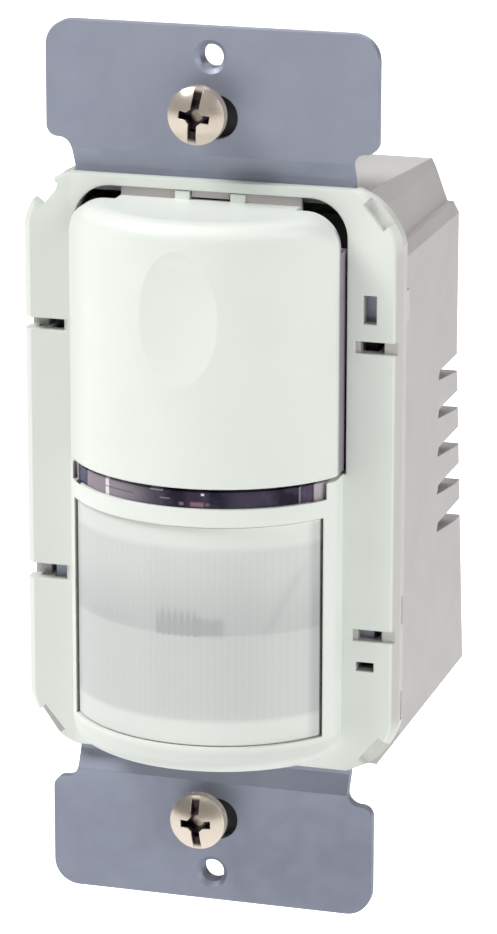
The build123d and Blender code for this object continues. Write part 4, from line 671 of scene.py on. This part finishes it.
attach(threaded_screws, "base")
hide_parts("mounting_screws")
print("screw faces:", len(screw_mesh.polygons))

# %% [markdown]
# ## Nickel plating
# Nickel is a warm grey. The bottom of the cross and of the slot see little light, so they are
# nearly black. How deep a point lies under the domed head is worked out from the sphere of the
# dome, and that depth is the mask.

# %% Screw finish
head_front = -5.9
crown_radius = 5.5
screw_x = -0.6
screw_middle_z = 0.7
screw_half_spacing = 41.67
recess_depth = (0.1, 0.45)
recess_reach = (3.1, 3.2)
head_back_y = (head_rear - 0.3, head_rear - 0.2)
bottom_depth = (1.55, 1.68)
bottom_reach = (0.5, 0.8)
recess_black = (0.030, 0.016, 0.020)
recess_bottom = (0.50, 0.42, 0.33)


def recess_marks(tree, position, tone):
    """Dark slot and cross, found by depth below the domed face of either head."""
    x, y, z = (axis_value(tree, position, axis) for axis in "XYZ")
    across = combine(tree, "SUBTRACT", x, screw_x)
    from_middle = away(tree, combine(tree, "SUBTRACT", z, screw_middle_z))
    along = combine(tree, "SUBTRACT", from_middle, screw_half_spacing)
    square = sum_of_squares(tree, across, along)
    out = combine(tree, "SQRT", square, 0)
    dome = combine(tree, "SQRT", combine(tree, "SUBTRACT", crown_radius ** 2, square), 0)
    depth = combine(tree, "ADD", combine(tree, "SUBTRACT", y, head_front + crown_radius), dome)
    sunk = spread(tree, depth, 0, 1, *recess_depth)
    inside = product(tree, sunk, spread(tree, out, 1, 0, *recess_reach))
    inside = product(tree, inside, spread(tree, y, 1, 0, *head_back_y))
    tone = blend(tree, inside, tone, recess_black)
    deepest = spread(tree, depth, 0, 0.8, *bottom_depth)
    bottom = product(tree, deepest, spread(tree, out, 1, 0, *bottom_reach))
    return blend(tree, product(tree, bottom, inside), tone, recess_bottom)


nickel_tone = (0.74, 0.655, 0.56)
nickel_drift = (0.67, 0.58, 0.49)
plated = dict(rough=0.25, grain=0.5, depth=0.006, edge=0.08, metal=0.6)
screw_nickel = moulded_finish("screw_nickel", nickel_tone, nickel_drift, marks=recess_marks, **plated)
screw_mesh.materials.append(screw_nickel)
dress("board_screws", screw_nickel)
print("screw finish:", screw_nickel.name)

# %% [markdown]
# ## Small pieces and the inside
# Most of these hide inside the housing and show only through a slot or a vent, but a model may
# be opened, so each gets its own finish too. A row of the table holds the two tones, then how
# rough the surface is, the size and depth of its grain, how round its edges are, how metallic it
# is, and the pieces it is for.

# %% Finishes of the small pieces
small_finishes = {
    "fibre_black": ((0.018, 0.018, 0.019), (0.03, 0.03, 0.03), 0.75, 0.3, 0.02, 0.08, 0.0,
                    ("fibre_washers",)),
    "frame_black": ((0.02, 0.02, 0.022), (0.028, 0.028, 0.03), 0.5, 0.2, 0.01, 0.1, 0.0,
                    ("inner_frame", "tact_switch", "sensor_spacer", "control_chip", "header_strips")),
    "board_green": ((0.02, 0.13, 0.05), (0.03, 0.17, 0.07), 0.35, 0.4, 0.01, 0.08, 0.0,
                    ("control_board", "power_board")),
    "plunger_grey": ((0.25, 0.25, 0.26), (0.22, 0.22, 0.23), 0.5, 0.2, 0.008, 0.08, 0.0,
                    ("tact_plunger",)),
    "trimmer_blue": ((0.02, 0.07, 0.32), (0.03, 0.09, 0.38), 0.4, 0.2, 0.008, 0.1, 0.0,
                    ("trimmer_bodies",)),
    "rotor_white": ((0.75, 0.75, 0.70), (0.70, 0.70, 0.65), 0.45, 0.2, 0.008, 0.08, 0.0,
                    ("time_rotor", "light_rotor", "range_rotor")),
    "can_nickel": ((0.70, 0.69, 0.66), (0.62, 0.61, 0.59), 0.2, 0.6, 0.004, 0.1, 1.0, ("sensor_can",)),
    "window_dark": ((0.012, 0.010, 0.014), (0.02, 0.017, 0.022), 0.12, 0.8, 0.002, 0.05, 0.0,
                    ("sensor_window",)),
    "wire_tin": ((0.66, 0.66, 0.64), (0.56, 0.56, 0.55), 0.28, 0.4, 0.006, 0.05, 1.0,
                 ("component_leads", "header_contacts", "wire_terminals")),
    "lamp_red": ((0.42, 0.03, 0.03), (0.36, 0.02, 0.02), 0.15, 0.5, 0.002, 0.05, 0.0, ("status_lamp",)),
    "photocell_tan": ((0.55, 0.36, 0.18), (0.60, 0.42, 0.24), 0.2, 0.4, 0.004, 0.05, 0.0,
                    ("photocell",)),
    "relay_white": ((0.78, 0.78, 0.74), (0.74, 0.74, 0.70), 0.3, 0.3, 0.004, 0.12, 0.0, ("relay",)),
    "sleeve_navy": ((0.015, 0.018, 0.05), (0.02, 0.024, 0.065), 0.25, 0.4, 0.004, 0.1, 0.0,
                    ("can_capacitors",)),
    "film_yellow": ((0.52, 0.36, 0.03), (0.48, 0.33, 0.03), 0.4, 0.3, 0.008, 0.1, 0.0,
                    ("film_capacitor",)),
    "core_ferrite": ((0.03, 0.028, 0.028), (0.045, 0.042, 0.042), 0.6, 0.25, 0.015, 0.08, 0.0,
                    ("choke_core",)),
    "varistor_blue": ((0.03, 0.10, 0.34), (0.035, 0.12, 0.38), 0.35, 0.6, 0.02, 0.1, 0.0,
                    ("varistor",)),
    "fuse_green": ((0.10, 0.22, 0.10), (0.12, 0.26, 0.12), 0.3, 0.4, 0.006, 0.08, 0.0, ("fuse",)),
    "diode_black": ((0.015, 0.015, 0.015), (0.02, 0.02, 0.02), 0.4, 0.2, 0.008, 0.06, 0.0, ("diodes",)),
}
for name, (colour, drift, rough, grain, depth, edge, metal, pieces) in small_finishes.items():
    made = moulded_finish(name, colour, drift, rough, grain, depth, edge, metal)
    for piece in pieces:
        dress(piece, made)
print("small finishes:", len(small_finishes))

# %% [markdown]
# ## The winding
# CAD gives the winding of the choke as one plain sleeve on its spool. Waves of painted light and
# shade on the copper stand for the turns of wire, and the same waves drive the bump, so that each
# turn also looks round.

# %% Copper winding
copper, tree, shader, position = start_finish("winding_copper")
turns = tree.nodes.new("ShaderNodeTexWave")
turns.bands_direction = "Y"
turns.inputs["Scale"].default_value = 1.0
turns.inputs["Distortion"].default_value = 0.2
tree.links.new(position, turns.inputs["Vector"])
# Dark and light copper: painted shade and painted light across the turns.
copper_shaded = (0.20, 0.06, 0.02)
copper_lit = (0.52, 0.20, 0.08)
wire_tone = blend(tree, turns.outputs["Fac"], copper_shaded, copper_lit)
tree.links.new(wire_tone, shader.inputs["Base Color"])
shader.inputs["Metallic"].default_value = 0.8
shader.inputs["Roughness"].default_value = 0.3
surface(tree, shader, turns.outputs["Fac"], 0.12, 0.0)
dress("choke_winding", copper)
print("winding nodes:", len(tree.nodes))
